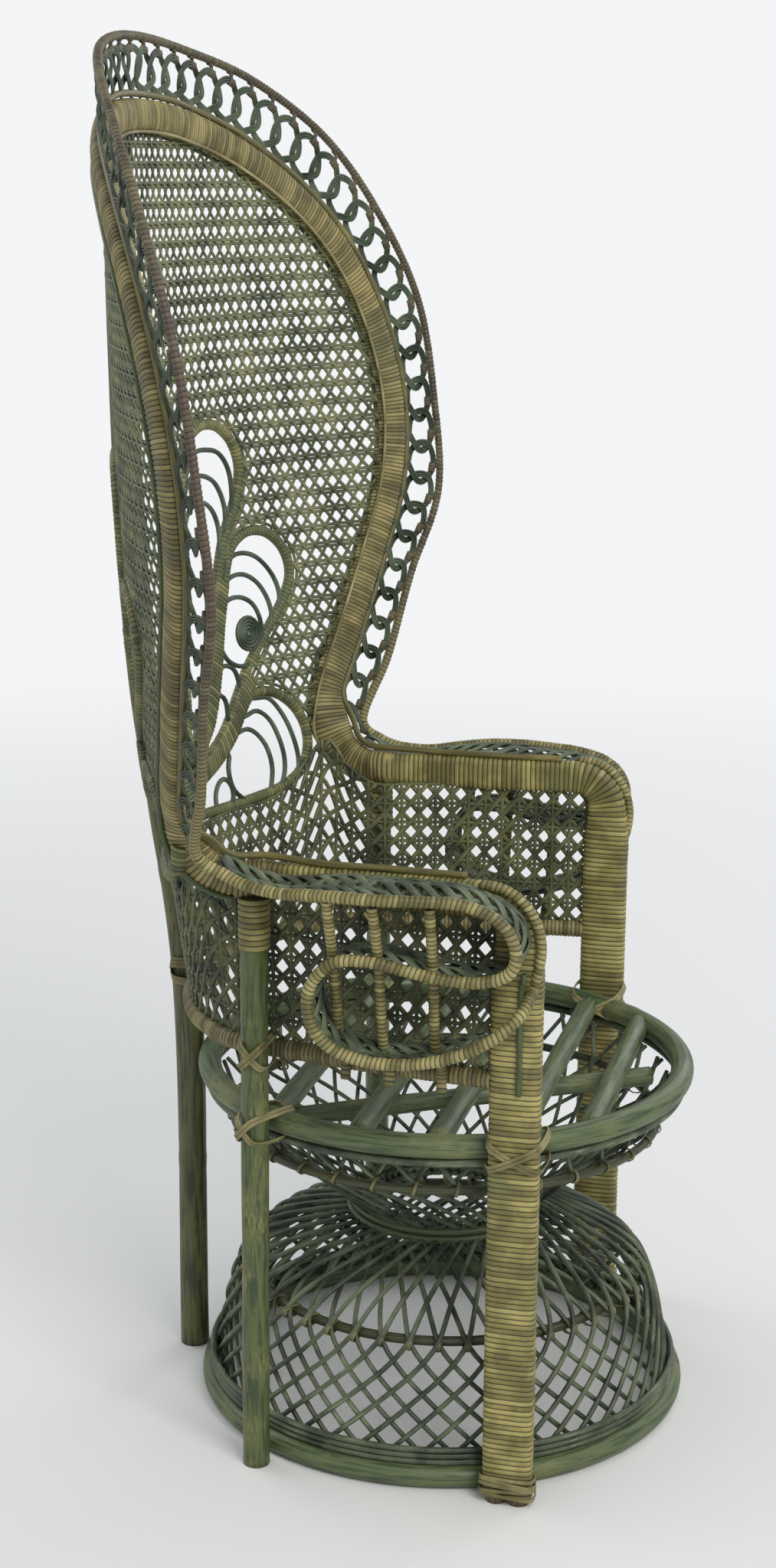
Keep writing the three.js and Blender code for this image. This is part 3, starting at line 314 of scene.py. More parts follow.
class Piece:
    """Grids of places, each laid as a tube or a strap, that become one mesh"""

    def __init__(self, name):
        self.name = name
        self.grids = []

    def lay(self, line, section, up=None, loop=False, lean=0, lengths=None):
        """A tube round a line; section holds the outline's places across and up, for all or for each place"""
        along = directions(line, loop)
        if up is None:
            side = carried(along)
            top = np.cross(side, along)
        else:
            side = unit(np.cross(along, np.broadcast_to(up, along.shape)))
            top = np.cross(side, along)
        section = np.broadcast_to(section, (len(line),) + np.shape(section)[-2:])
        tilt = lean * section[..., :1] / max(np.abs(section[..., 0]).max(), 1e-6)
        places = (line[:, None] + side[:, None] * section[..., :1] + top[:, None] * section[..., 1:]
                  + along[:, None] * tilt)
        if lengths is None:
            lengths = run_lengths(line)
        if loop:
            places = np.concatenate([places, places[:1]])
            last = lengths[-1] + np.linalg.norm(line[0] - line[-1])
            lengths = np.append(lengths, last)
        share = np.linspace(0, 1, places.shape[1])
        maps = np.stack(np.meshgrid(lengths, share, indexing="ij"), axis=-1)
        self.grids.append((places, maps))

    def make(self, material, nodes=(), body="root"):
        """The mesh: flat grids put in place, their seams closed and their ends filled"""
        bm = bmesh.new()
        bm.loops.layers.uv.new("UVMap")
        for places, _ in self.grids:
            rows, columns = places.shape[:2]
            bmesh.ops.create_grid(bm, x_segments=columns - 1, y_segments=rows - 1, size=1)
        mesh = bpy.data.meshes.new(self.name)
        bm.to_mesh(mesh)
        bm.free()
        places = np.concatenate([places.reshape(-1, 3) for places, _ in self.grids])
        maps = np.concatenate([maps.reshape(-1, 2) for _, maps in self.grids])
        mesh.vertices.foreach_set("co", (places * MM + BASE_MIDDLE).ravel())
        corners = np.empty(len(mesh.loops), dtype=np.int32)
        mesh.loops.foreach_get("vertex_index", corners)
        mesh.uv_layers[0].data.foreach_set("uv", (maps * (MM, 1))[corners].ravel())
        bm = bmesh.new()
        bm.from_mesh(mesh)
        bmesh.ops.remove_doubles(bm, verts=bm.verts, dist=MERGE_DISTANCE)
        open_edges = [edge for edge in bm.edges if edge.is_boundary]
        bmesh.ops.holes_fill(bm, edges=open_edges, sides=0)
        bmesh.ops.recalc_face_normals(bm, faces=bm.faces)
        bm.to_mesh(mesh)
        bm.free()
        mesh.shade_smooth()
        mesh.materials.append(material)
        piece = bpy.data.objects.new(self.name, mesh)
        bpy.context.scene.collection.objects.link(piece)
        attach(piece, body)
        if nodes:
            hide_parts(*nodes)
        return piece


def round_section(radius, sides, radius_up=None):
    angles = np.linspace(0, 2 * math.pi, sides + 1)
    return np.stack([radius * np.cos(angles), (radius_up or radius) * np.sin(angles)], axis=1)


def strap_section(width, thickness, sides=16, squareness=0.55):
    angles = np.linspace(0, 2 * math.pi, sides + 1)
    across = np.sign(np.cos(angles)) * np.abs(np.cos(angles)) ** squareness
    up = np.sign(np.sin(angles)) * np.abs(np.sin(angles)) ** squareness
    return np.stack([across * width / 2, up * thickness / 2], axis=1)


# A winding from one edge of a strip to the next: its place along the strip, and its height
WINDING_SHARES = ((0, -1), (0.14, -0.2), (0.5, 0.3), (0.86, -0.2))
WINDING_LOOSENESS = 0.12


def wound_places(line, loop=False, winding=STRIP, seed=1):
    """Where the windings' rings lie on a line, how far each stands out, and its length in the pattern"""
    closed = np.concatenate([line, line[:1]]) if loop else line
    total = run_lengths(closed)[-1]
    count = max(int(round(total / winding)), 1)
    random = np.random.default_rng(seed)
    jitter = random.normal(0, WINDING_LOOSENESS, count)
    starts = np.repeat(np.arange(count), len(WINDING_SHARES))
    shares = np.tile([share for share, _ in WINDING_SHARES], count)
    heights = np.tile([height for _, height in WINDING_SHARES], count)
    heights = np.where(heights > -0.5, heights + jitter[starts], heights)
    places = starts + shares
    if not loop:
        places = np.append(places, count)
        heights = np.append(heights, -1)
    return at_lengths(closed, places * total / count), heights, places * WINDING


def wound(piece, line, width, thickness=None, up=None, sides=12, depth=0.7, lean=0, seed=1, winding=STRIP,
          squareness=0.55):
    """A line bound with cane from end to end, round or flat"""
    places, heights, lengths = wound_places(line, winding=winding, seed=seed)
    at, along = run_lengths(places), run_lengths(line)
    widths = np.interp(at, along, np.broadcast_to(width, len(line)))
    round_rod = thickness is None
    thick = widths if round_rod else np.interp(at, along, np.broadcast_to(thickness, len(line)))
    outline = strap_section(2, 2, sides, 1 if round_rod else squareness)
    half = np.stack([widths / 2 + depth * heights, thick / 2 + depth * heights], axis=1)
    section = outline[None] * half[:, None]
    if up is not None and np.ndim(up) == 2:
        up = sampled(at, along, up)
    piece.lay(places, section, up, lean=lean, lengths=lengths)


# A joint's ridge and the dip beside it, and how far a pole's radius wanders
POLE_SPACING = 9
RIDGE_HEIGHT, RIDGE_WIDTH = 0.5, 7
DIP_DEPTH, DIP_PLACE, DIP_WIDTH = 0.25, 14, 9
WANDER, WANDERS = 0.25, 3


def pole(piece, line, radius, up=None, loop=False, sides=20, joint=310, seed=1):
    """A bare pole: not quite round, with a low ridge at each of its joints"""
    line = even(line, POLE_SPACING, loop)
    lengths = run_lengths(line)
    random = np.random.default_rng(seed)
    start = random.uniform(0.2, 0.8) * joint
    near = np.abs((lengths - start + joint / 2) % joint - joint / 2)
    ridge = (RIDGE_HEIGHT * np.exp(-(near / RIDGE_WIDTH) ** 2)
             - DIP_DEPTH * np.exp(-((near - DIP_PLACE) / DIP_WIDTH) ** 2))
    wander = WANDER * np.sin(2 * math.pi * lengths / max(lengths[-1], 1) * WANDERS + seed)
    radii = radius + ridge + wander * (0 if loop else 1)
    angles = np.linspace(0, 2 * math.pi, sides + 1)
    outline = np.stack([np.cos(angles), np.sin(angles)], axis=1)
    piece.lay(line, outline[None] * radii[:, None, None], up, loop)


def cane(piece, line, radius, up=None, loop=False, sides=6):
    piece.lay(line, round_section(radius, sides), up, loop)


def hoop_line(radius, height, count):
    angles = 2 * math.pi * np.arange(count) / count
    return np.stack([radius * np.cos(angles), radius * np.sin(angles), np.full(count, height)], axis=1)


# Surface of the back

def back_rear(z):
    return BACK_REAR - BACK_LEAN * np.exp((HUB_HEIGHT - z) / BACK_LEAN_LENGTH)


def back_bend(z):
    rise = (z - BEND_HEIGHT_LOW) / (BEND_HEIGHT_HIGH - BEND_HEIGHT_LOW)
    return BEND_LOW + rise * (BEND_HIGH - BEND_LOW)


def back_normal(x, z):
    bend = back_bend(z)
    bend_slope = (BEND_HIGH - BEND_LOW) / (BEND_HEIGHT_HIGH - BEND_HEIGHT_LOW)
    slope = (BACK_REAR - back_rear(z)) / BACK_LEAN_LENGTH + bend_slope * x * x / (2 * bend * bend)
    return unit(np.stack([x / bend, np.ones_like(x), -slope], axis=-1))


def normals_on(line):
    return back_normal(line[:, 0], line[:, 2])


def on_back(flat, off=0):
    """Places across and up, laid on the back and moved off it towards the rear"""
    flat = np.asarray(flat, float)
    x, z = flat[..., 0], flat[..., 1]
    places = np.stack([x, back_rear(z) - x * x / (2 * back_bend(z)), z], axis=-1)
    return places + back_normal(x, z) * np.asarray(off)[..., None]


def over_the_top(shares):
    places = np.array([(across * RIM_HALF, RIM_FOOT + up * (RIM_TOP - RIM_FOOT)) for across, up in shares])
    far = places[:0:-1] * (-1, 1)
    return on_back(np.concatenate([far, places]))


# Places on each run between two points of the band, rim, arm rods and rail
RUN_PLACES = 24
whole_band_line = smooth(over_the_top(BAND_SHARES + BAND_FOOT_SHARES), RUN_PLACES)
foot_places = len(BAND_FOOT_SHARES) * RUN_PLACES

# The rim runs on at both ends as the arm rods, in one line from scroll to scroll
arm_rod_points = np.array([(x * SCROLL_X, y * SCROLL_REACH, z * ARM_HEIGHT) for x, y, z in ARM_ROD_SHARES])
whole_rod_line = smooth(np.concatenate([arm_rod_points[::-1] * (-1, 1, 1), over_the_top(RIM_SHARES), arm_rod_points]),
                        RUN_PLACES)
rod_places = len(arm_rod_points) * RUN_PLACES
rim_line = whole_rod_line[rod_places:-rod_places]
arm_rod_line = whole_rod_line[-rod_places - 1:]


# Colours: sRGB as seen, made linear

def linear(code):
    channels = [int(code[index:index + 2], 16) / 255 for index in (0, 2, 4)]
    return [c / 12.92 if c <= 0.04045 else ((c + 0.055) / 1.055) ** 2.4 for c in channels] + [1]


NOISE_ROUGHNESS = 0.55


class Shader:
    """Nodes of one material, added and linked by short calls"""

    def __init__(self, name):
        self.material = bpy.data.materials.new(name)
        self.material.use_nodes = True
        self.nodes = self.material.node_tree.nodes
        self.links = self.material.node_tree.links
        self.surface = self.nodes["Principled BSDF"]
        self.coordinates = self.nodes.new("ShaderNodeTexCoord")

    def put(self, socket, value):
        if isinstance(value, bpy.types.NodeSocket):
            self.links.new(value, socket)
        else:
            socket.default_value = value

    def math(self, operation, first, second=0.0):
        node = self.nodes.new("ShaderNodeMath")
        node.operation = operation
        self.put(node.inputs[0], first)
        self.put(node.inputs[1], second)
        return node.outputs[0]

    def weighed(self, first, share, second, other_share):
        return self.math("ADD", self.math("MULTIPLY", first, share), self.math("MULTIPLY", second, other_share))

    def noise(self, scale, stretch=(1, 1, 1), detail=4, source="Object"):
        mapping = self.nodes.new("ShaderNodeMapping")
        mapping.inputs["Scale"].default_value = stretch
        self.put(mapping.inputs["Vector"], self.coordinates.outputs[source])
        node = self.nodes.new("ShaderNodeTexNoise")
        node.inputs["Scale"].default_value = scale
        node.inputs["Detail"].default_value = detail
        node.inputs["Roughness"].default_value = NOISE_ROUGHNESS
        self.put(node.inputs["Vector"], mapping.outputs["Vector"])
        return node.outputs["Fac"]

    def range(self, value, low, high, to_low=0.0, to_high=1.0):
        node = self.nodes.new("ShaderNodeMapRange")
        node.interpolation_type = "SMOOTHSTEP"
        self.put(node.inputs["Value"], value)
        for socket, number in zip(("From Min", "From Max", "To Min", "To Max"), (low, high, to_low, to_high)):
            node.inputs[socket].default_value = number
        return node.outputs["Result"]

    def mix(self, share, first, second):
        node = self.nodes.new("ShaderNodeMix")
        node.data_type = "RGBA"
        self.put(node.inputs["Factor"], share)
        self.put(node.inputs["A"], first)
        self.put(node.inputs["B"], second)
        return node.outputs["Result"]

    def parts(self, source):
        split = self.nodes.new("ShaderNodeSeparateXYZ")
        self.put(split.inputs["Vector"], self.coordinates.outputs[source])
        return split.outputs

    def finish(self, colour, roughness, height, strength, distance):
        self.put(self.surface.inputs["Base Color"], colour)
        self.put(self.surface.inputs["Roughness"], roughness)
        bump = self.nodes.new("ShaderNodeBump")
        bump.inputs["Strength"].default_value = strength
        bump.inputs["Distance"].default_value = distance
        self.put(bump.inputs["Height"], height)
        self.put(self.surface.inputs["Normal"], bump.outputs["Normal"])
        return self.material


def stained_pole(name, base, dark, worn, worn_share=0.5):
    """Bare rattan pole, stained, with streaks along it and patches where the stain has worn"""
    shader = Shader(name)
    streaks = shader.noise(1, (16, 20, 1), 5, "UV")
    fine = shader.noise(1, (70, 60, 1), 4, "UV")
    patches = shader.noise(11, detail=3)
    colour = shader.mix(shader.range(streaks, 0.36, 0.58), linear(dark), linear(base))
    worn_place = shader.weighed(patches, 0.6, fine, 0.4)
    colour = shader.mix(shader.range(worn_place, worn_share, worn_share + 0.1, 0, 0.9), colour, linear(worn))
    colour = shader.mix(shader.range(fine, 0.58, 0.72, 0, 0.4), colour, linear(dark))
    roughness = shader.range(patches, 0.3, 0.7, 0.38, 0.58)
    return shader.finish(colour, roughness, fine, 0.35, 0.0006)


def bound_cane(name, base, light, dark, patch, painted_gap_shade="2a2616", patch_share=0.56, tint=None):
    """Cane strips wound side by side, with painted shade darkening the gaps between them, and tones that change
    slowly along them
    """
    shader = Shader(name)
    turn = shader.math("DIVIDE", shader.parts("UV")["X"], WINDING * MM)
    strip = shader.nodes.new("ShaderNodeTexWhiteNoise")
    strip.noise_dimensions = "1D"
    shader.put(strip.inputs["W"], shader.math("FLOOR", turn))
    beside = shader.math("ABSOLUTE", shader.math("SUBTRACT", shader.math("FRACT", turn), 0.5))
    patches = shader.noise(24, detail=4)
    wide = shader.noise(7, detail=3)
    grain = shader.noise(1, (900, 14, 1), 3, "UV")
    tone = shader.weighed(strip.outputs["Value"], 0.22, patches, 0.8)
    colour = shader.mix(shader.range(tone, 0.36, 0.54), linear(dark), linear(base))
    colour = shader.mix(shader.range(tone, 0.5, 0.66, 0, 0.9), colour, linear(light))
    colour = shader.mix(shader.range(wide, patch_share, patch_share + 0.12, 0, 0.75), colour, linear(patch))
    if tint:
        colour = tint(shader, colour)
    colour = shader.mix(shader.range(grain, 0.58, 0.75, 0, 0.25), colour, linear(dark))
    # Painted shade: each winding darkens towards its edges, where the gap between two strips lies in shade
    colour = shader.mix(shader.range(beside, 0.3, 0.47, 0, 0.85), colour, linear(painted_gap_shade))
    roughness = shader.range(patches, 0.3, 0.7, 0.46, 0.66)
    return shader.finish(colour, roughness, grain, 0.3, 0.0004)


def rim_tint(shader, colour):
    """Red-brown on the right side, strongest at middle height, and pale where the rim runs on as the arm rod"""
    across, _, height = (shader.parts("Object")[axis] for axis in "XYZ")
    red = shader.math("MULTIPLY", shader.range(across, -0.4, -0.1, 1, 0), shader.range(height, 1.15, 1.42, 1, 0))
    red = shader.math("MULTIPLY", red, shader.range(height, 0.92, 1.05, 0.06, 0.7))
    colour = shader.mix(red, colour, linear("57443d"))
    return shader.mix(shader.range(height, 0.68, 0.93, 0.95, 0), colour, linear("8f8656"))


def bare_cane(name, base, light, dark, light_share=0.52, roughness=(0.42, 0.62)):
    """Thin bare cane, its tone changing from place to place, with fine lines along it"""
    shader = Shader(name)
    patches = shader.noise(22, detail=4)
    lines = shader.noise(1, (25, 9, 1), 3, "UV")
    colour = shader.mix(shader.range(patches, 0.35, 0.6), linear(dark), linear(base))
    tone = shader.weighed(lines, 0.6, patches, 0.4)
    colour = shader.mix(shader.range(tone, light_share, light_share + 0.13), colour, linear(light))
    return shader.finish(colour, shader.range(patches, 0.3, 0.7, *roughness), lines, 0.3, 0.0004)


pole_finish = stained_pole("green_pole", "5e6b47", "3b4a30", "777b50", 0.54)
post_finish = stained_pole("post_pole", "596439", "33452a", "858050", 0.5)
rear_post_finish = stained_pole("rear_post_pole", "5c5f3a", "35381f", "787149", 0.52)
edge_finish = stained_pole("edge_cane", "726a3c", "4a4628", "8d824b", 0.53)
green_rod_finish = stained_pole("green_rod", "50603c", "36442a", "6b7045", 0.55)
foot_finish = stained_pole("pole_foot", "6a5a40", "45382a", "7e6f52", 0.55)
hoop_finish = stained_pole("cage_hoop", "474c30", "2e321f", "5f5d39", 0.55)
band_finish = bound_cane("bound_band", "857b4b", "a49762", "655b35", "66683f", painted_gap_shade="1f1b0e")
leg_finish = bound_cane("bound_leg", "90874d", "b0a568", "6f673a", "757a46", painted_gap_shade="1f1b0e")
rim_finish = bound_cane("bound_rim", "5f5842", "746c50", "484130", "544b3a", patch_share=0.5, tint=rim_tint)
rod_finish = bound_cane("bound_rod", "8a8150", "aba26c", "666036", "6c7043")
fan_finish = bound_cane("bound_fan", "6f7148", "908c5a", "505334", "5d6540", patch_share=0.52)
rail_finish = bound_cane("bound_rail", "7b7349", "968c5a", "575030", "5f5032")
chain_finish = bare_cane("chain_cane", "43513d", "6d795f", "28341f", 0.5)
chain_tie_finish = bound_cane("chain_tie", "5e553b", "756a4b", "433a28", "52443a")
base_finish = bare_cane("base_cane", "576149", "7f886c", "30382b")
net_finish = bare_cane("net_cane", "6d7150", "938f63", "474e33")
arm_net_finish = bare_cane("arm_net_cane", "5c6240", "8c855a", "363c27")
plait_finish = bare_cane("plait_strip", "626d54", "8a9379", "3f4838", roughness=(0.55, 0.75))
arc_finish = bare_cane("arc_cane", "4c5a46", "74806a", "2f3a2b")
tie_finish = bare_cane("tie_cane", "8f875a", "aea578", "665f3a")
cage_tie_finish = bare_cane("cage_tie", "6f6b44", "898359", "4d4a2e")


# Base and seat

HOOP_PLACES = 160
POLE_HOOP_SIDES = 24
POLE_HOOP_JOINT = 420
POLE_HOOP_INSET = 0.3


def cane_hoop(name, hoops, material, nodes=(), count=HOOP_PLACES, sides=8):
    """Hoops of bare cane, each with its radius, tube and height"""
    piece = Piece(name)
    for radius, tube, height in hoops:
        cane(piece, hoop_line(radius, height, count), tube, UP, True, sides)
    piece.make(material, nodes)


def floor_and_seat_hoops():
    for name, radius, tube, height, node in (
            ("floor_pole_hoop", HOOP_RADIUS, HOOP_TUBE, HOOP_TUBE, "floor_hoop"),
            ("seat_pole_hoop", SEAT_RADIUS, SEAT_TUBE, SEAT_HEIGHT, "seat_ring")):
        piece = Piece(name)
        pole(piece, hoop_line(radius, height, HOOP_PLACES), tube - POLE_HOOP_INSET, UP, True, POLE_HOOP_SIDES,
             POLE_HOOP_JOINT, seed=int(height))
        piece.make(pole_finish, (node,))
    for index in range(THIN_HOOPS):
        height = 2 * HOOP_TUBE + THIN_HOOP_TUBE + index * 2 * THIN_HOOP_TUBE
        cane_hoop(f"thin_cane_hoop_{index + 1}", ((HOOP_RADIUS, THIN_HOOP_TUBE, height),), base_finish,
                  (f"thin_hoop_{index + 1}",))
    cane_hoop("under_seat_hoop", ((SEAT_RADIUS, UNDER_TUBE, UNDER_HEIGHT),), base_finish, ("under_ring",))


SLAT_REACH = 0.85
SLAT_JOINT = 260


def seat_slats():
    for index, share in enumerate(SLAT_Y_SHARES):
        y = share * SEAT_RADIUS
        half = math.sqrt(SEAT_RADIUS ** 2 - y ** 2) - SEAT_TUBE * SLAT_REACH
        piece = Piece(f"slat_pole_{index + 1}")
        ends = np.array([(-half, y, SEAT_HEIGHT), (half, y, SEAT_HEIGHT)])
        pole(piece, ends, SLAT_RADIUS, seed=index + 5, joint=SLAT_JOINT)
        piece.make(pole_finish, (f"seat_slat_{index + 1}",))
    piece = Piece("cross_pole")
    height = SEAT_HEIGHT - SLAT_RADIUS - CROSS_BAR_RADIUS
    pole(piece, np.array([(*place, height) for place in CROSS_BAR_ENDS]), CROSS_BAR_RADIUS, seed=31)
    piece.make(pole_finish, ("seat_cross_bar",))


def caged_cane(profile, sweep_shares, sweep, layer, turn):
    """One cane of the base: straight in plan past the waist, then swept round the wall"""
    profile = np.asarray(profile, float)
    swing = np.arccos(TANGENT_RADIUS / profile[:, 0]) + sweep * np.asarray(sweep_shares)
    angles = turn + layer * swing
    shifted = profile - to_the_right(directions(profile)) * layer * LAYER_SHIFT
    return np.stack([shifted[:, 0] * np.cos(angles), shifted[:, 0] * np.sin(angles), shifted[:, 1]], axis=1)


BASE_PROFILE = (
    (264, 25), (261, 55), (255, 90), (247, 123), (SHOULDER_RADIUS, SHOULDER_HEIGHT), (219, 168), (195, 182),
    (165, 195), (135, 207), (WAIST_RADIUS, WAIST_HEIGHT), (78, 226),
)
BASE_SWEEP_SHARES = (1, 0.76, 0.47, 0.2, 0.03, 0, 0, 0, 0, 0, 0)
WALL_SWEEP = math.radians(28)
FUNNEL_PROFILE = (
    (WAIST_RADIUS + 3, 231), (128, 253), (176, 295), (FUNNEL_RING_RADIUS, FUNNEL_RING_HEIGHT),
    (262, UNDER_HEIGHT),
)
FUNNEL_SWEEP_SHARES = (0, 0.15, 0.45, 0.8, 1)
FUNNEL_SWEEP = math.radians(20)
FUNNEL_CANE_RADIUS = 2.5

# Hoops that the canes are tied to: radius, tube and height
CAGE_HOOP_PLACES = 140
SHOULDER_HOOP = (SHOULDER_RADIUS - 13, 5.5, SHOULDER_HEIGHT - 1)
FUNNEL_HOOP = (FUNNEL_RING_RADIUS + 9, 5, FUNNEL_RING_HEIGHT - 6)
WAIST_HOOPS = ((WAIST_RADIUS + 10, 4.2, WAIST_HEIGHT), (WAIST_RADIUS + 7, 4.2, WAIST_HEIGHT + 8))

# Their ties: radius, reach outward and upward, and width
SHOULDER_TIES = (SHOULDER_HOOP[0] + 6, (13, 7.5), 6)
FUNNEL_TIES = (FUNNEL_HOOP[0] - 4, (11, 7), 4)
TIE_THICKNESS = 1.5
TIE_SLANT = 2


def ties_round(piece, height, count, radius, reach, width):
    """Flat turns of cane round a hoop of the cage and the crossings beside it"""
    for index in range(count):
        angle = 2 * math.pi * (index + 0.5) / count
        outward = np.array([math.cos(angle), math.sin(angle), 0])
        along = np.array([-math.sin(angle), math.cos(angle), 0])
        turns = np.linspace(0, 2 * math.pi, 13)[:-1, None]
        middle = radius * outward + (0, 0, height)
        ring = (middle + reach[0] * np.cos(turns) * outward + reach[1] * np.sin(turns) * np.array(UP)
                + TIE_SLANT * np.sin(turns) * along)
        piece.lay(ring, strap_section(width, TIE_THICKNESS, 8), ring - middle, True)


def cage(name, profile, shares, sweep, layer, count, radius, node):
    piece = Piece(name)
    for index in range(count):
        line = caged_cane(profile, shares, sweep, layer, 2 * math.pi * index / count)
        cane(piece, even(smooth(line, 8), 12), radius, sides=8)
    piece.make(base_finish, (node,))


def base_cages():
    for layer, side in ((-1, "outer"), (1, "inner")):
        cage(f"base_cane_layer_{side}", BASE_PROFILE, BASE_SWEEP_SHARES, WALL_SWEEP, layer, BASE_CANES,
             CANE_RADIUS, f"base_canes_{side}")
        cage(f"funnel_cane_layer_{side}", FUNNEL_PROFILE, FUNNEL_SWEEP_SHARES, FUNNEL_SWEEP, layer,
             FUNNEL_CANES, FUNNEL_CANE_RADIUS, f"funnel_canes_{side}")
    for name, hoops, finish in (
            ("shoulder_hoop", (SHOULDER_HOOP,), hoop_finish),
            ("funnel_hoop", (FUNNEL_HOOP,), hoop_finish),
            ("waist_hoops", WAIST_HOOPS, pole_finish)):
        cane_hoop(name, hoops, finish, count=CAGE_HOOP_PLACES, sides=12)
    piece = Piece("cage_ties")
    ties_round(piece, SHOULDER_HOOP[2], BASE_CANES, *SHOULDER_TIES)
    ties_round(piece, FUNNEL_HOOP[2], FUNNEL_CANES, *FUNNEL_TIES)
    piece.make(cage_tie_finish)


# Legs, arms and posts

# Where a leg starts to narrow towards the arm, how far its binding stands out over the poles, and its outline
NARROWS_FROM = 600
LEG_FULLNESS, ARM_LESS_FULL = 2.4, 1.6
SIDE_FULLNESS = 0.6
LEG_DEPTH = 0.8
LEG_SIDES, LEG_SQUARENESS = 24, 0.5
LEG_HEIGHTS = (FOOT_HEIGHT, 200, 420, 560)
BEND_STEPS = 4


def leg_and_arm_line():
    corner_z = ARM_HEIGHT - ARM_CORNER
    corner_y = LEG_Y + ARM_CORNER
    points = [(LEG_X, LEG_Y, height) for height in LEG_HEIGHTS]
    for bend in range(BEND_STEPS + 1):
        angle = math.pi / 2 * bend / BEND_STEPS
        points.append((LEG_X, corner_y - ARM_CORNER * math.cos(angle), corner_z + ARM_CORNER * math.sin(angle)))
    points += [(ARM_WAIST_X, 0, ARM_HEIGHT), (ARM_WAIST_X, ARM_REAR_Y / 2, ARM_HEIGHT),
               (ARM_REAR_X, ARM_REAR_Y - 10, ARM_HEIGHT)]
    return even(smooth(points, 16), BOUND_SPACING)


def legs_and_arms():
    line = leg_and_arm_line()
    bent = np.clip((line[:, 2] - NARROWS_FROM) / (ARM_HEIGHT - NARROWS_FROM), 0, 1)
    bent = np.where(line[:, 1] > LEG_Y + ARM_CORNER, 1, bent)
    widths = LEG_WIDTH + (ARM_WIDTH - LEG_WIDTH) * bent
    piece = Piece("bound_leg_and_arm_left")
    places, heights, lengths = wound_places(line, winding=LEG_STRIP, seed=3)
    at, along = run_lengths(places), run_lengths(line)
    widths = np.interp(at, along, widths)
    thick = np.interp(at, along, LEG_THICKNESS + (ARM_THICKNESS - LEG_THICKNESS) * bent)
    outline = strap_section(2, 2, LEG_SIDES, LEG_SQUARENESS)
    fuller = LEG_FULLNESS - ARM_LESS_FULL * np.interp(at, along, bent)
    half = np.stack([widths / 2 + LEG_DEPTH * heights + fuller,
                     thick / 2 + LEG_DEPTH * heights + SIDE_FULLNESS], axis=1)
    ways = directions(places)
    thickness_way = unit(np.array([1.0, 0, 0]) - ways * ways[:, :1])
    piece.lay(places, outline[None] * half[:, None], thickness_way, lengths=lengths)
    for side, name in SIDES:
        if side < 0:
            piece.name = f"bound_leg_and_arm_{name}"
            piece.grids = [(grid * (-1, 1, 1), maps) for grid, maps in piece.grids]
        piece.make(leg_finish, (f"leg_and_arm_{name}",))


# A foot's two bare pole ends, and the turns of cane above them
FOOT_POLE_TOP = 30
FOOT_POLE_Y, FOOT_POLE_RADIUS = LEG_WIDTH / 4 - 0.3, LEG_WIDTH / 4 - 1
FOOT_TURNS = 5
FOOT_TURN_LOW, FOOT_TURN_PITCH = 12, 4.3
FOOT_TURN_SLOPE = 0.16
FOOT_STRAP = (4.2, 1.6)
FOOT_TURN_HALF = (LEG_THICKNESS / 2 + 1.4, LEG_WIDTH / 2 + 3)


def foot_wraps():
    """The poles' bare ends at each foot, and the loose turns of cane above them"""
    random = np.random.default_rng(9)
    for side, name in SIDES:
        piece = Piece(f"pole_feet_{name}")
        for beside in (-1, 1):
            y = LEG_Y + beside * FOOT_POLE_Y
            pole(piece, np.array([(side * LEG_X, y, 0), (side * LEG_X, y, FOOT_POLE_TOP)]), FOOT_POLE_RADIUS, seed=3)
        piece.make(foot_finish)
        piece = Piece(f"foot_turns_{name}")
        for turn in range(FOOT_TURNS):
            slope, rise = random.uniform(-FOOT_TURN_SLOPE, FOOT_TURN_SLOPE, 2)
            half = np.array(FOOT_TURN_HALF) + random.uniform(0, 1)
            ring = smooth(np.array(LASH_SHARES) * half, 6, True)
            height = FOOT_TURN_LOW + turn * FOOT_TURN_PITCH + ring[:, 1] * slope + ring[:, 0] * rise
            line = np.stack([side * (LEG_X + ring[:, 0]), LEG_Y + ring[:, 1], height], axis=1)
            outward = line * (1, 1, 0) - (side * LEG_X, LEG_Y, 0)
            piece.lay(line, strap_section(*FOOT_STRAP, 10), outward, True)
        piece.make(tie_finish)


# The bare rod on a leg's face: out from the face, along the chair, and height
LEG_ROD_PLACES = (
    (6, LEG_Y - 10, 606), (3.2, LEG_Y - 7, 585), (2.8, LEG_Y - 6, 530), (2.8, LEG_Y - 6, RAIL_HEIGHT - RAIL_RADIUS),
)
LEG_ROD_RADIUS = 3.2
LEG_ROD_JOINT = 90

# Where the bound corner rod comes up beside the leg: out from the leg's front, and height
CORNER_ROD_STARTS = ((1, 612), (-1, 637))


def corner_rods():
    """A bare rod down each leg's outer face, and the rod that follows the leg round into the arm"""
    outer = LEG_X + LEG_THICKNESS / 2
    for side, name in SIDES:
        piece = Piece(f"leg_green_rod_{name}")
        line = np.array(LEG_ROD_PLACES) + (outer, 0, 0)
        pole(piece, smooth(line * (side, 1, 1), 8), LEG_ROD_RADIUS, sides=12, joint=LEG_ROD_JOINT, seed=4)
        piece.make(green_rod_finish)
        piece = Piece(f"bound_corner_rod_{name}")
        front = LEG_Y - LEG_WIDTH / 2
        points = [tuple(arm_rod_line[-1])] + [(outer, front + out, height) for out, height in CORNER_ROD_STARTS]
        for turn in range(1, BEND_STEPS + 1):
            angle = math.pi / 2 * turn / BEND_STEPS
            reach = ARM_CORNER + LEG_WIDTH / 2 - CORNER_ROD_RADIUS * turn / BEND_STEPS
            points.append((outer, LEG_Y + ARM_CORNER - reach * math.cos(angle),
                           ARM_HEIGHT - ARM_CORNER + reach * math.sin(angle)))
        line = even(smooth(np.array(points) * (side, 1, 1), 12), BOUND_SPACING)
        wound(piece, line, 2 * CORNER_ROD_RADIUS, up=(1, 0, 0), seed=90, lean=1)
        piece.make(rod_finish)


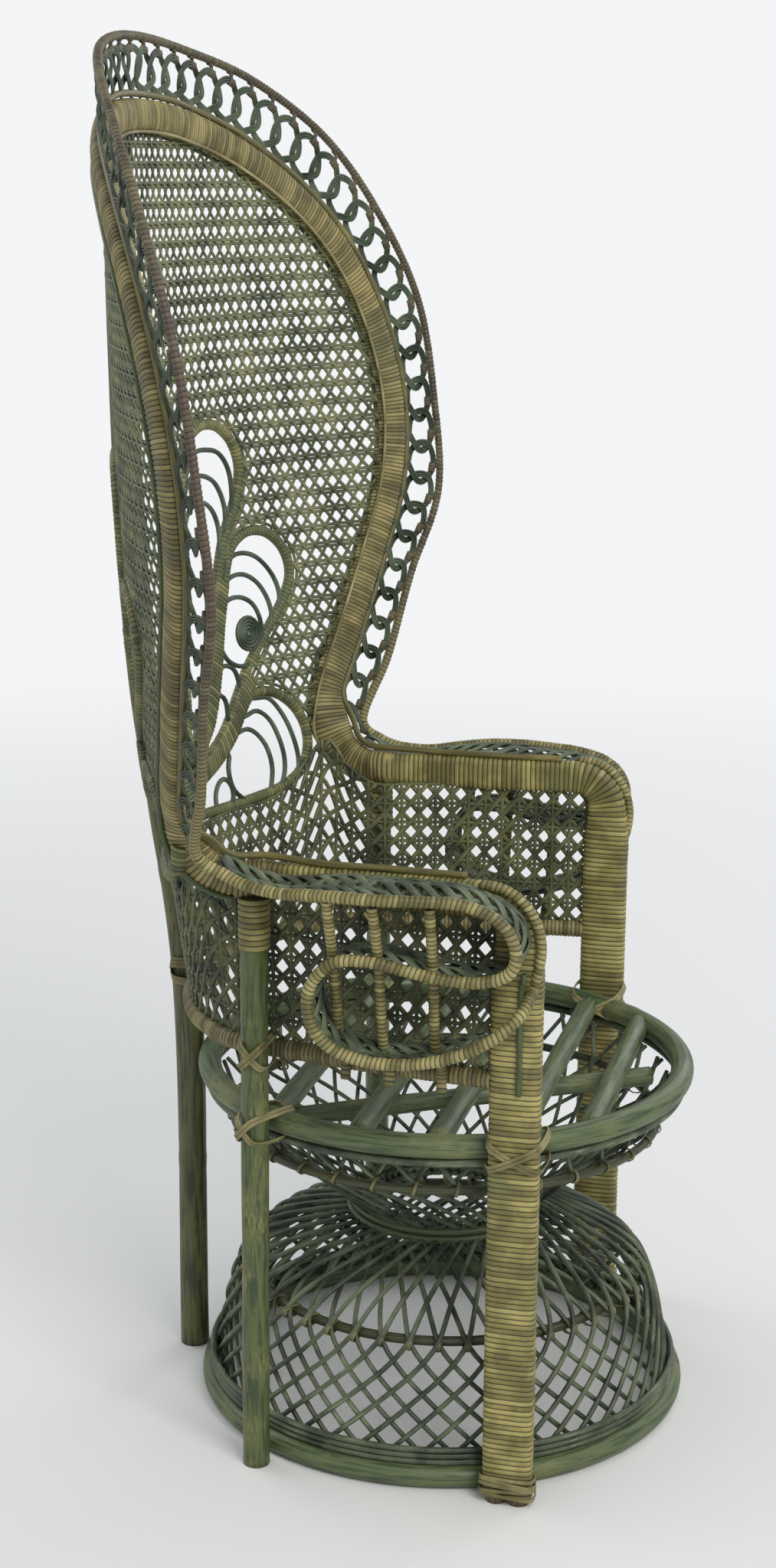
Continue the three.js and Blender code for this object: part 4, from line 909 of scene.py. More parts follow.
POST_TOP = ARM_UNDERSIDE - 0.3
POST_WRAP_THICKNESS = 2
POST_JOINT = 330
REAR_POST_JOINT = 360
REAR_POST_STEPS = 6


def posts():
    for side, name in SIDES:
        piece = Piece(f"middle_pole_{name}")
        line = np.array([(side * POST_X, POST_Y, 0), (side * POST_X, POST_Y, POST_TOP - 2)])
        pole(piece, line, POST_RADIUS, seed=11 + side, joint=POST_JOINT)
        piece.make(post_finish, (f"mid_post_{name}",))
        wrap = Piece(f"middle_pole_wrap_{name}")
        line = np.array([(side * POST_X, POST_Y, POST_TOP - POST_WRAP), (side * POST_X, POST_Y, POST_TOP)])
        wound(wrap, even(line, BOUND_SPACING), 2 * (POST_RADIUS + POST_WRAP_THICKNESS), seed=12, sides=20, depth=1,
              winding=POST_STRIP)
        wrap.make(leg_finish)
    setback = BAND_THICKNESS / 2 + REAR_POST_RADIUS
    points = [(0, REAR_POST_FOOT, 0), (0, RAIL_REAR + RAIL_RADIUS + REAR_POST_RADIUS, RAIL_HEIGHT)]
    for rise in range(REAR_POST_STEPS + 1):
        z = HUB_HEIGHT + (REAR_POST_TOP - HUB_HEIGHT) * rise / REAR_POST_STEPS
        points.append((0, float(back_rear(z)) + setback, z))
    piece = Piece("rear_pole")
    pole(piece, smooth(points, 16), REAR_POST_RADIUS, seed=21, joint=REAR_POST_JOINT)
    piece.make(rear_post_finish, ("rear_post",))


# Back: band, rim and the chain of loops between them

# Where the band leaves the back and turns forward as the arm
CORNER_PLACES = (
    (285, 218, 720), (280, 201, 693), (272, 174, 678), (ARM_REAR_X, ARM_REAR_Y - 8, ARM_HEIGHT),
    (ARM_REAR_X + 1.4, ARM_REAR_Y - 22, ARM_HEIGHT),
)
CORNER_LEAVES = 758
CORNER_BLENDS = 14

# The band's binding: thicker than its poles, fuller at the corner, and wider but thinner than the arm's at its end
BAND_ROUNDNESS = 5
BAND_CORNER_FULLNESS = 7
BAND_OVER_ARM = 3.6
BAND_THINS_BY = 1.6

# Canes beside the band: how far they lap over its inner edge and stand off it, and how many places before its
# ends they stop
BAND_LAP = 1
REAR_CANE_STOPS = 10
INNER_STRIP_STOPS = 4
REAR_CANE_OFF, INNER_STRIP_OFF = 0.5, 1
INNER_STRIP = (3.6, 1.8)
EDGE_CANE_SINKS = 0.6
EDGE_FRONT = (272, -80)

# The bound stub under each corner of the back
FOOT_END_PLACES = ((287, 222, 714), (286, 225, 698), (285, 227, 682))
FOOT_END_WIDTHS = (24, 17)


def turned_band_line():
    """The band's line with a turn into the arm at both ends, the way its rear faces, and its share of the turn"""
    upper = even(whole_band_line[whole_band_line[:, 2] > CORNER_LEAVES], OUTLINE_SPACING)
    corner = np.array(CORNER_PLACES)
    line = even(smooth(np.concatenate([corner[::-1] * (-1, 1, 1), upper, corner]), 8), BOUND_SPACING)
    rearward = normals_on(line)
    start = CORNER_LEAVES + CORNER_BLENDS
    share = np.clip((start - line[:, 2]) / (start - ARM_HEIGHT), 0, 1)[:, None]
    share = share * share * (3 - 2 * share)
    sideways = np.sign(line[:, :1]) * (1, 0, 0)
    return line, unit(rearward * (1 - share) + sideways * share), share[:, 0]


def back_band():
    line, rearward, share = turned_band_line()
    reach = np.abs(np.linspace(-1, 1, len(line)))
    widths = BAND_WIDTH + (BAND_FOOT_WIDTH - BAND_WIDTH) * reach ** 6
    widths += (ARM_WIDTH + BAND_OVER_ARM - widths) * share ** 3 + BAND_CORNER_FULLNESS * np.sin(math.pi * share)
    thickness = BAND_THICKNESS + BAND_ROUNDNESS + (ARM_THICKNESS - BAND_THICKNESS - BAND_THINS_BY) * share
    outward = unit(np.cross(directions(line), rearward))
    piece = Piece("bound_back_band")
    wound(piece, line, widths, thickness, rearward, sides=24, depth=1, seed=5, squareness=0.75, winding=BAND_STRIP)
    piece.make(band_finish, ("back_band",))

    edge = line + outward * (widths[:, None] / 2 + EDGE_GAP + EDGE_ROD_RADIUS)
    arm_top = ARM_HEIGHT + ARM_WIDTH / 2 + EDGE_ROD_RADIUS
    front = np.array([(ARM_WAIST_X, ARM_REAR_Y / 2, arm_top), (ARM_WAIST_X, 0, arm_top), (*EDGE_FRONT, arm_top)])
    edge = even(smooth(np.concatenate([front[::-1] * (-1, 1, 1), edge[::3], front]), 6), 5)
    ahead = np.clip((CORNER_LEAVES - edge[:, 2]) / (CORNER_LEAVES - ARM_HEIGHT), 0, 1)[:, None]
    upright = normals_on(edge) * (1 - ahead) + np.sign(edge[:, :1]) * (1, 0, 0) * ahead
    piece = Piece("band_edge_cane")
    cane(piece, edge, EDGE_ROD_RADIUS - EDGE_CANE_SINKS, unit(upright), sides=10)
    piece.make(edge_finish, ("band_edge_rod",))

    piece = Piece("band_rear_cane")
    inner = line - outward * (widths[:, None] / 2 - BAND_LAP)
    rod = inner + rearward * (BAND_THICKNESS / 2 + REAR_CANE_OFF)
    kept = slice(REAR_CANE_STOPS, -REAR_CANE_STOPS)
    cane(piece, rod[kept], EDGE_CANE, rearward[kept], sides=8)
    piece.make(green_rod_finish)

    piece = Piece("band_foot_ends")
    for side in (-1, 1):
        foot = even(smooth(np.array(FOOT_END_PLACES) * (side, 1, 1), 8), 3)
        wound(piece, foot, np.linspace(*FOOT_END_WIDTHS, len(foot)), up=(0, 1, 0), seed=6)
    piece.make(fan_finish)

    piece = Piece("band_inner_strip")
    strip = inner - rearward * (BAND_THICKNESS / 2 + INNER_STRIP_OFF)
    kept = slice(INNER_STRIP_STOPS, -INNER_STRIP_STOPS)
    piece.lay(strip[kept], strap_section(*INNER_STRIP, 10), rearward[kept])
    piece.make(tie_finish)


def rim():
    piece = Piece("bound_rim_rod")
    line = even(rim_line, BOUND_SPACING)
    reach = np.abs(np.linspace(-1, 1, len(line)))
    widths = 2 * RIM_RADIUS + (ARM_ROD_RADIUS - RIM_RADIUS) * 2 * reach ** 12
    wound(piece, line, widths, up=normals_on(line), sides=12, lean=1.2, seed=7)
    piece.make(rim_finish, ("rim_rod",))


# One loop of the chain: along the back, across from the band to the rim, and towards the rear
CHAIN_PLACES = (
    (11, -0.05, -1.5), (3, 0.04, -1.5), (-13.5, 0.17, 2.5), (-23, 0.34, 0), (-23, 0.62, -3), (-8, 0.775, -2),
    (6, 0.775, 0), (16, 0.69, 3), (23.5, 0.52, 1), (23, 0.3, -3), (8.5, 0.12, -1), (-8, -0.03, 2),
)
# How far the chain follows the rim and the band past the back, in places, and the part loop that still fits
CHAIN_RUNS_ON = 20
CHAIN_END_SHARE = 0.45

# The wraps that tie a loop to the next and to the rim, and the peg between: along and across at start and end
CHAIN_KNOTS = ((-1.5, 0.785, 8.5, 0.765), (-5.5, 0.975, 3.5, 0.975))
KNOT_PLACES = 5
KNOT_WIDTH, KNOT_THICKNESS, KNOT_OFF = 5.4, 3.2, 0.4
PEG = (3.5, 0.76, -1, 1)
PEG_RADIUS = 2.3
PEG_PLACES = 4


def chain():
    """Loops of three canes side by side, each through the next, tied to the rim and tucked in at the band"""
    outer = whole_rod_line[rod_places - CHAIN_RUNS_ON:CHAIN_RUNS_ON - rod_places]
    edge = whole_band_line[foot_places - CHAIN_RUNS_ON:CHAIN_RUNS_ON - foot_places]
    lengths = run_lengths((outer + edge) / 2)
    half_length = lengths[-1] / 2
    count = int(half_length / LOOP_PITCH + CHAIN_END_SHARE)
    inner = BAND_WIDTH / 2 + EDGE_ROD_RADIUS + EDGE_GAP

    def spot(length, across, off):
        """A place between the edge rod at 0 and the rim at 1"""
        places = np.clip(length + half_length, 0, lengths[-1])
        rim_place, band_place = sampled(places, lengths, outer), sampled(places, lengths, edge)
        span = rim_place - band_place
        reach = np.linalg.norm(span, axis=-1, keepdims=True)
        point = band_place + span / reach * (inner + np.asarray(across)[..., None] * (reach - inner))
        return point + back_normal(point[..., 0], point[..., 2]) * np.asarray(off)[..., None]

    def stretch(side, centre, ends, count, off):
        return spot(side * np.linspace(centre + ends[0], centre + ends[2], count),
                    np.linspace(ends[1], ends[3], count), np.full(count, off))

    for side, name in SIDES:
        piece = Piece(f"chain_loops_{name}")
        ties = Piece(f"chain_ties_{name}")
        for index in range(count):
            centre = (index + 0.5) * LOOP_PITCH
            ends = spot(side * np.array([centre, centre]), np.array([0.0, 1.0]), np.zeros(2))
            wide = np.linalg.norm(ends[1] - ends[0])
            shape = smooth(np.array(CHAIN_PLACES) * (1, wide, 1), 4)
            runs = directions(shape[:, :2])
            for strand in (-1, 0, 1):
                beside = to_the_right(runs) * strand * CHAIN_SPACING
                along, across = (shape[:, :2] + beside).T
                line = spot(side * (centre + along), across / wide, shape[:, 2])
                cane(piece, line, CHAIN_CANE, normals_on(line), sides=6)
            for knot in CHAIN_KNOTS:
                tie = stretch(side, centre, knot, KNOT_PLACES, KNOT_OFF)
                ties.lay(tie, round_section(KNOT_WIDTH, 8, KNOT_THICKNESS), normals_on(tie))
            ties.lay(stretch(side, centre, PEG, PEG_PLACES, 0), round_section(PEG_RADIUS, 8))
        piece.make(chain_finish, (f"border_{name}",))
        ties.make(chain_tie_finish)


# Fan of bound loops

def stick(index, offset):
    places = np.array(STICK_SHARES[index]) * (FAN_HALF, FAN_HEIGHT)
    runs = directions(places)
    return places + to_the_right(runs) * offset


LOOP_END_STEPS = 6
FAN_DEPTH = 0.4

# Half the gap between two loops that share a stick, the stretch of each stick that is bound, how low the middle
# loop reaches, and the bound hub
FAN_APART = 0.45
BOUND_STICKS = ((0, 5), (0, 6), (1, 6))
MIDDLE_FOOT_SHARE = 0.75
HUB_ENDS = (650, 716)
HUB_WIDTH, HUB_THICKNESS = 42, 26

# The coiled disc: its turns, cane, first radius, and what its last turn leaves to the rim
DISC_TURNS, DISC_TURN_PLACES = 5, 20
DISC_CANE = 2.2
DISC_START, DISC_MARGIN = 0.8, 3.4
DISC_OFF = 2


def loop_end(index):
    across, up, radius = LOOP_END_SHARES[index]
    start, end = np.radians(LOOP_END_DEGREES[index])
    angles = start + (end - start) * np.arange(LOOP_END_STEPS + 1) / LOOP_END_STEPS
    centre = np.array([across * FAN_HALF, up * FAN_HEIGHT])
    return centre + radius * FAN_HALF * np.stack([np.cos(angles), np.sin(angles)], axis=1)


def petals():
    offset = FAN_ROD + FAN_APART
    inner = stick(0, -offset)
    foot = np.array([[0, (inner[0][1] + offset) * MIDDLE_FOOT_SHARE]])
    middle = np.concatenate([foot, inner, loop_end(0), inner[::-1] * (-1, 1)])
    first = np.concatenate([stick(0, offset), loop_end(1), stick(1, -offset)[::-1]])
    second = np.concatenate([stick(1, offset)[1:-1], loop_end(2), stick(2, -offset - 2 * FAN_APART)[2:][::-1]])
    third = np.concatenate([stick(2, offset)[:-1], loop_end(3), stick(3, -offset)[::-1]])
    return middle, first, second, third


def fan_loop(place, petal, arc_places, side, seed):
    """A bound loop of the fan and the thin canes inside it"""
    piece = Piece(f"bound_loop_{place}")
    flat = petal * (side, 1) + (0, HUB_HEIGHT)
    line = on_back(even(smooth(flat, 16, True), BOUND_SPACING, True), FAN_SETBACK)
    places, heights, lengths = wound_places(line, True, seed=seed)
    section = round_section(1, 12)[None] * (FAN_ROD + FAN_DEPTH * heights)[:, None, None]
    piece.lay(places, section, normals_on(places), True, 0.8, lengths=lengths)
    piece.make(fan_finish, (f"fan_loop_{place}",))
    arcs = Piece(f"fan_arcs_{place}")
    for points in arc_places:
        cane(arcs, on_back(even(smooth(np.array(points) * (side, 1), 8), 6)), ARC_RADIUS, sides=8)
    arcs.make(arc_finish)


def fan():
    middle, *others = petals()
    fan_loop("middle", middle, MIDDLE_ARC_PLACES, 1, 40)
    for side, name in SIDES:
        for index, petal in enumerate(others):
            fan_loop(f"{index + 1}_{name}", petal, SIDE_ARC_PLACES[index], side, 41 + index)
        sticks(side, name)
        disc(side, name)
    piece = Piece("bound_hub")
    line = on_back(even(np.array([(0.0, height) for height in HUB_ENDS]), BOUND_SPACING))
    wound(piece, line, HUB_WIDTH, HUB_THICKNESS, (0, 1, 0), sides=18, seed=60)
    piece.make(fan_finish, ("fan_hub",))


def sticks(side, name):
    """The binding that holds two neighbouring loops together along their shared side"""
    piece = Piece(f"bound_sticks_{name}")
    for index, (first, last) in enumerate(BOUND_STICKS):
        places = stick(index, 0)[first:last] * (side, 1) + (0, HUB_HEIGHT)
        line = on_back(even(smooth(places, 12), BOUND_SPACING), FAN_SETBACK)
        wound(piece, line, 4 * FAN_ROD, 2 * FAN_ROD + 2, normals_on(line), sides=18, seed=50 + index, lean=4)
    piece.make(fan_finish)


def disc(side, name):
    """Cane coiled flat"""
    piece = Piece(f"coiled_disc_{name}")
    angles = np.linspace(0, 2 * math.pi * DISC_TURNS, DISC_TURNS * DISC_TURN_PLACES)
    radii = DISC_START + (DISC_RADIUS - DISC_MARGIN) * angles / angles[-1]
    flat = np.stack([side * (DISC_X + radii * np.cos(angles)), DISC_Z + radii * np.sin(angles)], axis=1)
    line = on_back(flat, -ARC_RADIUS - DISC_OFF)
    cane(piece, line, DISC_CANE, normals_on(line), sides=8)
    piece.make(arc_finish, (f"fan_disc_{name}",))


# Cane nets

# The back's net: its foot, its rows in pairs, how far they and the slanted canes wave, and the shortest kept runs
NET_LOWEST = 692
ROW_APART = 2.2
ROW_WAVE = 0.9
SLANT_OFF, SLANT_WAVE = 1.1, 0.7
NET_STEP = 0.25
NET_FOOT_GAP = 6
LEAST_PLACES = 3

# The thin canes round the loops at the net's edge
LEAST_EDGE_PLACES = 6
EDGE_CANE_OFF = 1
EDGE_CANE_APART = 3.5
EDGE_CANE_FROM = 60

# The arm's net: radius and waves of its canes, and its slanted straps
ARM_NET_CANE = 2.2
ARM_NET_WAVE = 0.8
ARM_SLANT_OFF, ARM_SLANT_WAVE = 1.3, 0.9
ARM_NET_STRAP = (5.8, 2.6)


def marks(count, step):
    """Places from 0 to count, both included"""
    return np.arange(0, count + 0.01, step)


def within(points, outline):
    """Which places lie inside an outline"""
    here, after = outline, np.roll(outline, -1, axis=0)
    x, y = points[:, 0, None], points[:, 1, None]
    crosses = (here[:, 1] > y) != (after[:, 1] > y)
    rise = np.where(np.abs(after[:, 1] - here[:, 1]) < 1e-9, 1e-9, after[:, 1] - here[:, 1])
    edge = here[:, 0] + (after[:, 0] - here[:, 0]) * (y - here[:, 1]) / rise
    return (crosses & (x < edge)).sum(axis=1) % 2 == 1


def kept_runs(points, keep):
    """The stretches of a line that are kept"""
    runs, start = [], None
    for index, kept in enumerate(np.append(keep, False)):
        if kept and start is None:
            start = index
        if not kept and start is not None:
            if index - start > 1:
                runs.append(points[start:index])
            start = None
    return runs


def grown(outline, distance):
    normals = to_the_right(directions(outline, True))
    area = np.sum(outline[:, 0] * np.roll(outline[:, 1], -1) - np.roll(outline[:, 0], -1) * outline[:, 1])
    return outline + normals * distance * np.sign(area)


def back_net_outlines():
    line = turned_band_line()[0]
    line = even(line[line[:, 2] > NET_LOWEST], OUTLINE_SPACING)
    outward = unit(np.cross(directions(line), normals_on(line)))
    outer = (line - outward * (BAND_WIDTH / 2 - BAND_LAP))[:, [0, 2]]
    holes = []
    for index, petal in enumerate(petals()):
        flat = even(smooth(petal, 8, True), 10, True) + (0, HUB_HEIGHT)
        holes.append(flat)
        if index:
            holes.append(flat * (-1, 1))
    return outer, holes


def back_net():
    outer, holes = back_net_outlines()
    strap = strap_section(NET_STRAP_WIDTH, NET_STRAP_THICKNESS, 6, 1)
    foot = ARM_UNDERSIDE
    row_count = int((RIM_TOP - foot) / NET_ROW)
    column_count = int(RIM_HALF / NET_PITCH)

    def lay(piece, flat, off, section):
        keep = within(flat, outer) & (flat[:, 1] > foot + NET_FOOT_GAP)
        for hole in holes:
            keep &= ~within(flat, hole)
        for run in kept_runs(np.concatenate([flat, off[:, None]], axis=1), keep):
            if len(run) > LEAST_PLACES:
                line = on_back(run[:, :2], run[:, 2])
                piece.lay(line, section, normals_on(line))

    rows = Piece("back_net_rows")
    across = np.arange(-RIM_HALF, RIM_HALF, NET_PITCH * NET_STEP)
    for row in range(row_count):
        for beside in (-1, 1):
            flat = np.stack([across, np.full_like(across, foot + row * NET_ROW + beside * ROW_APART)], axis=1)
            wave = ROW_WAVE * beside * np.sin(2 * math.pi * across / NET_PITCH)
            lay(rows, flat, wave, round_section(NET_CANE, 6))
    rows.make(net_finish, ("back_net",))
    for slope, name in ((1, "rising"), (-1, "falling")):
        piece = Piece(f"back_net_{name}")
        turns = np.arange(0, row_count, NET_STEP)
        for index in range(-column_count - row_count, column_count + row_count):
            flat = np.stack([(index + slope * turns) * NET_PITCH, foot + turns * NET_ROW], axis=1)
            off = slope * (SLANT_OFF + SLANT_WAVE * np.cos(2 * math.pi * turns))
            beside = np.abs(flat[:, 0]) < RIM_HALF
            if beside.sum() > 2:
                lay(piece, flat[beside], off[beside], strap)
        piece.make(net_finish)
    piece = Piece("net_edge_canes")
    for flat in holes:
        edge = grown(even(flat, 8, True), FAN_ROD + EDGE_CANE_APART)
        keep = within(edge, outer) & (edge[:, 1] > HUB_HEIGHT + EDGE_CANE_FROM)
        for hole in holes:
            keep &= ~within(edge, hole)
        for run in kept_runs(edge, keep):
            if len(run) > LEAST_EDGE_PLACES:
                line = on_back(run, EDGE_CANE_OFF)
                cane(piece, line, NET_CANE, normals_on(line), sides=6)
    piece.make(net_finish)


def around_seat(shares, height_of):
    """A line from leg to leg round the back of the seat"""
    half = np.array([(share[0] * LEG_X, share[1] * RAIL_REAR, height_of(share)) for share in shares])
    half[0][1] = LEG_Y + LEG_WIDTH / 2
    return smooth(np.concatenate([half, half[-2::-1] * (-1, 1, 1)]), RUN_PLACES)


rail_line = around_seat(RAIL_SHARES, lambda share: RAIL_HEIGHT)
net_foot_line = around_seat(RAIL_SHARES, lambda share: RAIL_HEIGHT + RAIL_RADIUS - 2)
net_top_line = around_seat(NET_TOP_SHARES, lambda share: share[2] * ARM_UNDERSIDE + 2)


def arm_net():
    """Cane net from leg to leg round the seat, between the lower rail and the arms"""
    total = run_lengths(net_top_line * (1, 1, 0))
    shares = total / total[-1]
    outward = unit(np.pad(to_the_right(directions(net_top_line)), ((0, 0), (0, 1))))

    def spot(column, row, off):
        share = np.clip(column / ARM_NET_COLUMNS, 0, 1)
        foot, top, out = (sampled(share, shares, line) for line in (net_foot_line, net_top_line, outward))
        return foot + (top - foot) * (row / ARM_NET_ROWS)[:, None] + out * np.asarray(off)[:, None], out

    piece = Piece("arm_net_rows")
    columns = marks(ARM_NET_COLUMNS, 0.5)
    for row in range(ARM_NET_ROWS + 1):
        off = ARM_NET_WAVE * np.cos(2 * math.pi * columns)
        cane(piece, spot(columns, np.full_like(columns, row), off)[0], ARM_NET_CANE, sides=6)
    rows = marks(ARM_NET_ROWS, 0.5)
    for column in range(ARM_NET_COLUMNS + 1):
        off = -ARM_NET_WAVE * np.cos(2 * math.pi * rows)
        cane(piece, spot(np.full_like(rows, column), rows, off)[0], ARM_NET_CANE, sides=6)
    piece.make(arm_net_finish, ("arm_net",))
    piece = Piece("arm_net_crossed")
    rows = marks(ARM_NET_ROWS, NET_STEP)
    for slope in (1, -1):
        for index in range(-ARM_NET_ROWS - 1, ARM_NET_COLUMNS + ARM_NET_ROWS + 1):
            places = index + 0.5 + slope * rows
            keep = (places >= 0) & (places <= ARM_NET_COLUMNS)
            if keep.sum() > 2:
                off = slope * (ARM_SLANT_OFF + ARM_SLANT_WAVE * np.cos(2 * math.pi * rows[keep]))
                line, out = spot(places[keep], rows[keep], off)
                piece.lay(line, strap_section(*ARM_NET_STRAP, 6, 1), out)
    piece.make(arm_net_finish)


# Rail, arm rods, scroll bars and plaited strips

def lower_rail():
    piece = Piece("bound_lower_rail")
    wound(piece, even(rail_line, BOUND_SPACING), 2 * RAIL_RADIUS, up=UP, sides=16, seed=70, winding=RAIL_STRIP)
    piece.make(rail_finish, ("lower_rail",))


def rail_x(y):
    """How far the lower rail's middle stands from the chair's middle, beside a place along the chair"""
    half = rail_line[:len(rail_line) // 2]
    return float(np.interp(y, half[:, 1], half[:, 0]))


def bar_line(shares):
    """A bar from the top of the scroll down its outside and in beside the lower rail"""
    reach, top, middle, low = shares
    y = reach * SCROLL_REACH
    inner = rail_x(y) + RAIL_RADIUS + BAR_RADIUS
    points = [(top * SCROLL_X, y, ARM_HEIGHT + BAR_OVER_ARM), (middle * SCROLL_X, y, BAR_MIDDLE_HEIGHT),
              (low * SCROLL_X, y, BAR_LOW_HEIGHT), (inner, y, RAIL_HEIGHT + RAIL_RADIUS),
              (inner, y, RAIL_HEIGHT - RAIL_RADIUS - BAR_RADIUS)]
    return even(smooth(points, 12), BOUND_SPACING)


def scrolls():
    for side, name in SIDES:
        piece = Piece(f"bound_arm_rod_{name}")
        line = even(arm_rod_line, BOUND_SPACING) * (side, 1, 1)
        wound(piece, line, 2 * ARM_ROD_RADIUS, up=(1, 0, 0), sides=14, lean=1, seed=80)
        piece.make(rod_finish, (f"arm_rod_{name}",))
        for index, shares in enumerate(BAR_SHARES):
            piece = Piece(f"bound_bar_{index + 1}_{name}")
            line = bar_line(shares) * (side, 1, 1)
            wound(piece, line, 2 * BAR_RADIUS, up=(0, 1, 0), sides=12, lean=1, seed=84 + index)
            piece.make(rod_finish, (f"scroll_bar_{index + 1}_{name}",))
        plait(side, name)


# The plait's strips, the length over which each crosses and comes back, and the first and last run that it follows
PLAIT_STRANDS = 9
PLAIT_STRIP = (9.5, 3)
PLAIT_LENGTH = 170
PLAIT_FIRST = 0.6
PLAIT_LAST = 23.6

# How far a strip moves over and under the others, how often, and how round the whole plait is
PLAIT_WEAVE, PLAIT_WEAVES = 3.2, 3.5
PLAIT_ROUNDNESS = 2
PLAIT_MARGIN = 2
PLAIT_EASE = 9


def plait(side, name):
    """The plaited strip beside the arm rod, from the arm's rear down through both turns of the scroll"""
    start, end = int(PLAIT_FIRST * RUN_PLACES), int(PLAIT_LAST * RUN_PLACES)
    line = even(arm_rod_line[start:end], 5)
    leg_face, arm_face = LEG_X + LEG_THICKNESS / 2, ARM_WAIST_X + ARM_THICKNESS / 2
    inner = np.where(line[:, 2] > ARM_HEIGHT, arm_face, leg_face + PLAIT_MARGIN)
    inner = np.where(line[:, 1] < LEG_Y + LEG_WIDTH, leg_face, inner)
    inner = np.pad(inner, PLAIT_EASE // 2, mode="edge")
    inner = np.convolve(inner, np.ones(PLAIT_EASE) / PLAIT_EASE, mode="valid")
    outer = line[:, 0] - ARM_ROD_RADIUS + PLAIT_MARGIN
    middle = np.stack([(inner + outer) / 2, line[:, 1], line[:, 2]], axis=1)
    half = (outer - inner) / 2 - PLAIT_MARGIN
    sideways = np.array([1.0, 0, 0])
    normal = unit(np.cross(directions(middle), sideways))
    lengths = run_lengths(middle)
    piece = Piece(f"plaited_strip_{name}")
    for strand in range(PLAIT_STRANDS):
        phase = 2 * math.pi * (lengths / PLAIT_LENGTH + strand / PLAIT_STRANDS)
        across = np.sin(phase) * half
        off = PLAIT_WEAVE * np.cos(phase) * np.cos(PLAIT_WEAVES * phase) + PLAIT_ROUNDNESS * np.cos(phase)
        places = middle + sideways * across[:, None] + normal * off[:, None]
        piece.lay(places * (side, 1, 1), strap_section(*PLAIT_STRIP, 10, 0.8), normal * (side, 1, 1))
    piece.make(plait_finish, (f"arm_strip_{name}",))


# Lashings

# A crossing's turns, each in two slants: the outer slant stands further out than the inner one
LASH_WIDTH, LASH_THICKNESS = 4.2, 1.8
LEG_TIE_MARGINS = (1.2, 2.6)
LEG_TIE_HALF, RING_TIE_HALF, RAIL_TIE_HALF, REAR_TIE_HALF = 31, 20, 19, 24
LASH_SHARES = ((1, 0.75), (0.75, 1), (-0.75, 1), (-1, 0.75), (-1, -0.75), (-0.75, -1), (0.75, -1), (1, -0.75))


def lash(piece, centre, away, tilt, half_away, half_tilt, strands):
    """Flat canes wound side by side round two crossing members"""
    centre, away, tilt = np.array(centre, float), unit(np.array(away, float)), unit(np.array(tilt, float))
    beside = np.cross(away, tilt)
    for strand in range(strands):
        shift = (strand - (strands - 1) / 2) * LASH_WIDTH
        ring = np.array([centre + away * a * half_away + tilt * b * half_tilt + beside * shift
                         for a, b in LASH_SHARES])
        line = even(smooth(ring, 6, True), 5, True)
        outward = unit(line - centre - beside * shift)
        piece.lay(line, strap_section(LASH_WIDTH * 0.95, LASH_THICKNESS, 10), outward, True)


def lashings():
    for side, name in SIDES:
        flip = np.array([side, 1, 1])
        ring_inner = math.sqrt((SEAT_RADIUS - SEAT_TUBE) ** 2 - LEG_Y ** 2)
        leg_outer = LEG_X + LEG_THICKNESS / 2
        piece = Piece(f"leg_tie_{name}")
        half_x = (leg_outer - ring_inner) / 2 + 1
        centre = np.array([(leg_outer + ring_inner) / 2, LEG_Y, SEAT_HEIGHT]) * flip
        for slant, margin in zip((1, -1), LEG_TIE_MARGINS):
            lash(piece, centre, (side, 0, 0), (0, 1, slant * 0.5), half_x + margin, LEG_TIE_HALF, 2)
        piece.make(tie_finish, (f"leg_lashing_{name}",))

        away = unit(np.array([POST_X, POST_Y, 0.0]))
        post_reach = math.hypot(POST_X, POST_Y) + POST_RADIUS + 1
        inner = SEAT_RADIUS - SEAT_TUBE
        piece = Piece(f"ring_tie_{name}")
        sideways = np.array([-away[1], away[0], 0])
        for slant in (1, -1):
            lash(piece, away * (post_reach + inner) / 2 * flip + (0, 0, SEAT_HEIGHT), away * flip,
                 (sideways + (0, 0, slant)) * flip, (post_reach - inner) / 2 + 1 + (slant < 0), RING_TIE_HALF, 2)
        piece.make(tie_finish, (f"ring_lashing_{name}",))

        rail_inner = rail_x(POST_Y) - RAIL_RADIUS
        post_outer = POST_X + POST_RADIUS + 1
        piece = Piece(f"rail_tie_{name}")
        for slant in (1, -1):
            lash(piece, np.array([(rail_inner + post_outer) / 2, POST_Y, RAIL_HEIGHT]) * flip, (side, 0, 0),
                 (0, 1, slant), (post_outer - rail_inner) / 2 + 1 + (slant < 0), RAIL_TIE_HALF, 2)
        piece.make(tie_finish, (f"rail_lashing_{name}",))
    rear_ties()


def rear_ties():
    """Turns of cane that hold the rear pole to the lower rail"""
    piece = Piece("rear_ties")
    for slant in (1, -1):
        lash(piece, (0, RAIL_REAR + RAIL_RADIUS, RAIL_HEIGHT), (0, 1, 0), (1, 0, 0.5 * slant),
             RAIL_RADIUS + REAR_POST_RADIUS + 2 + (slant < 0), REAR_TIE_HALF, 3)
    piece.make(tie_finish)


# Floor, light and camera

FLOOR_RADIUS = 9
FLOOR_COLOUR = (0.82, 0.82, 0.81, 1)
FLOOR_FADE = (0.9, 4.5)


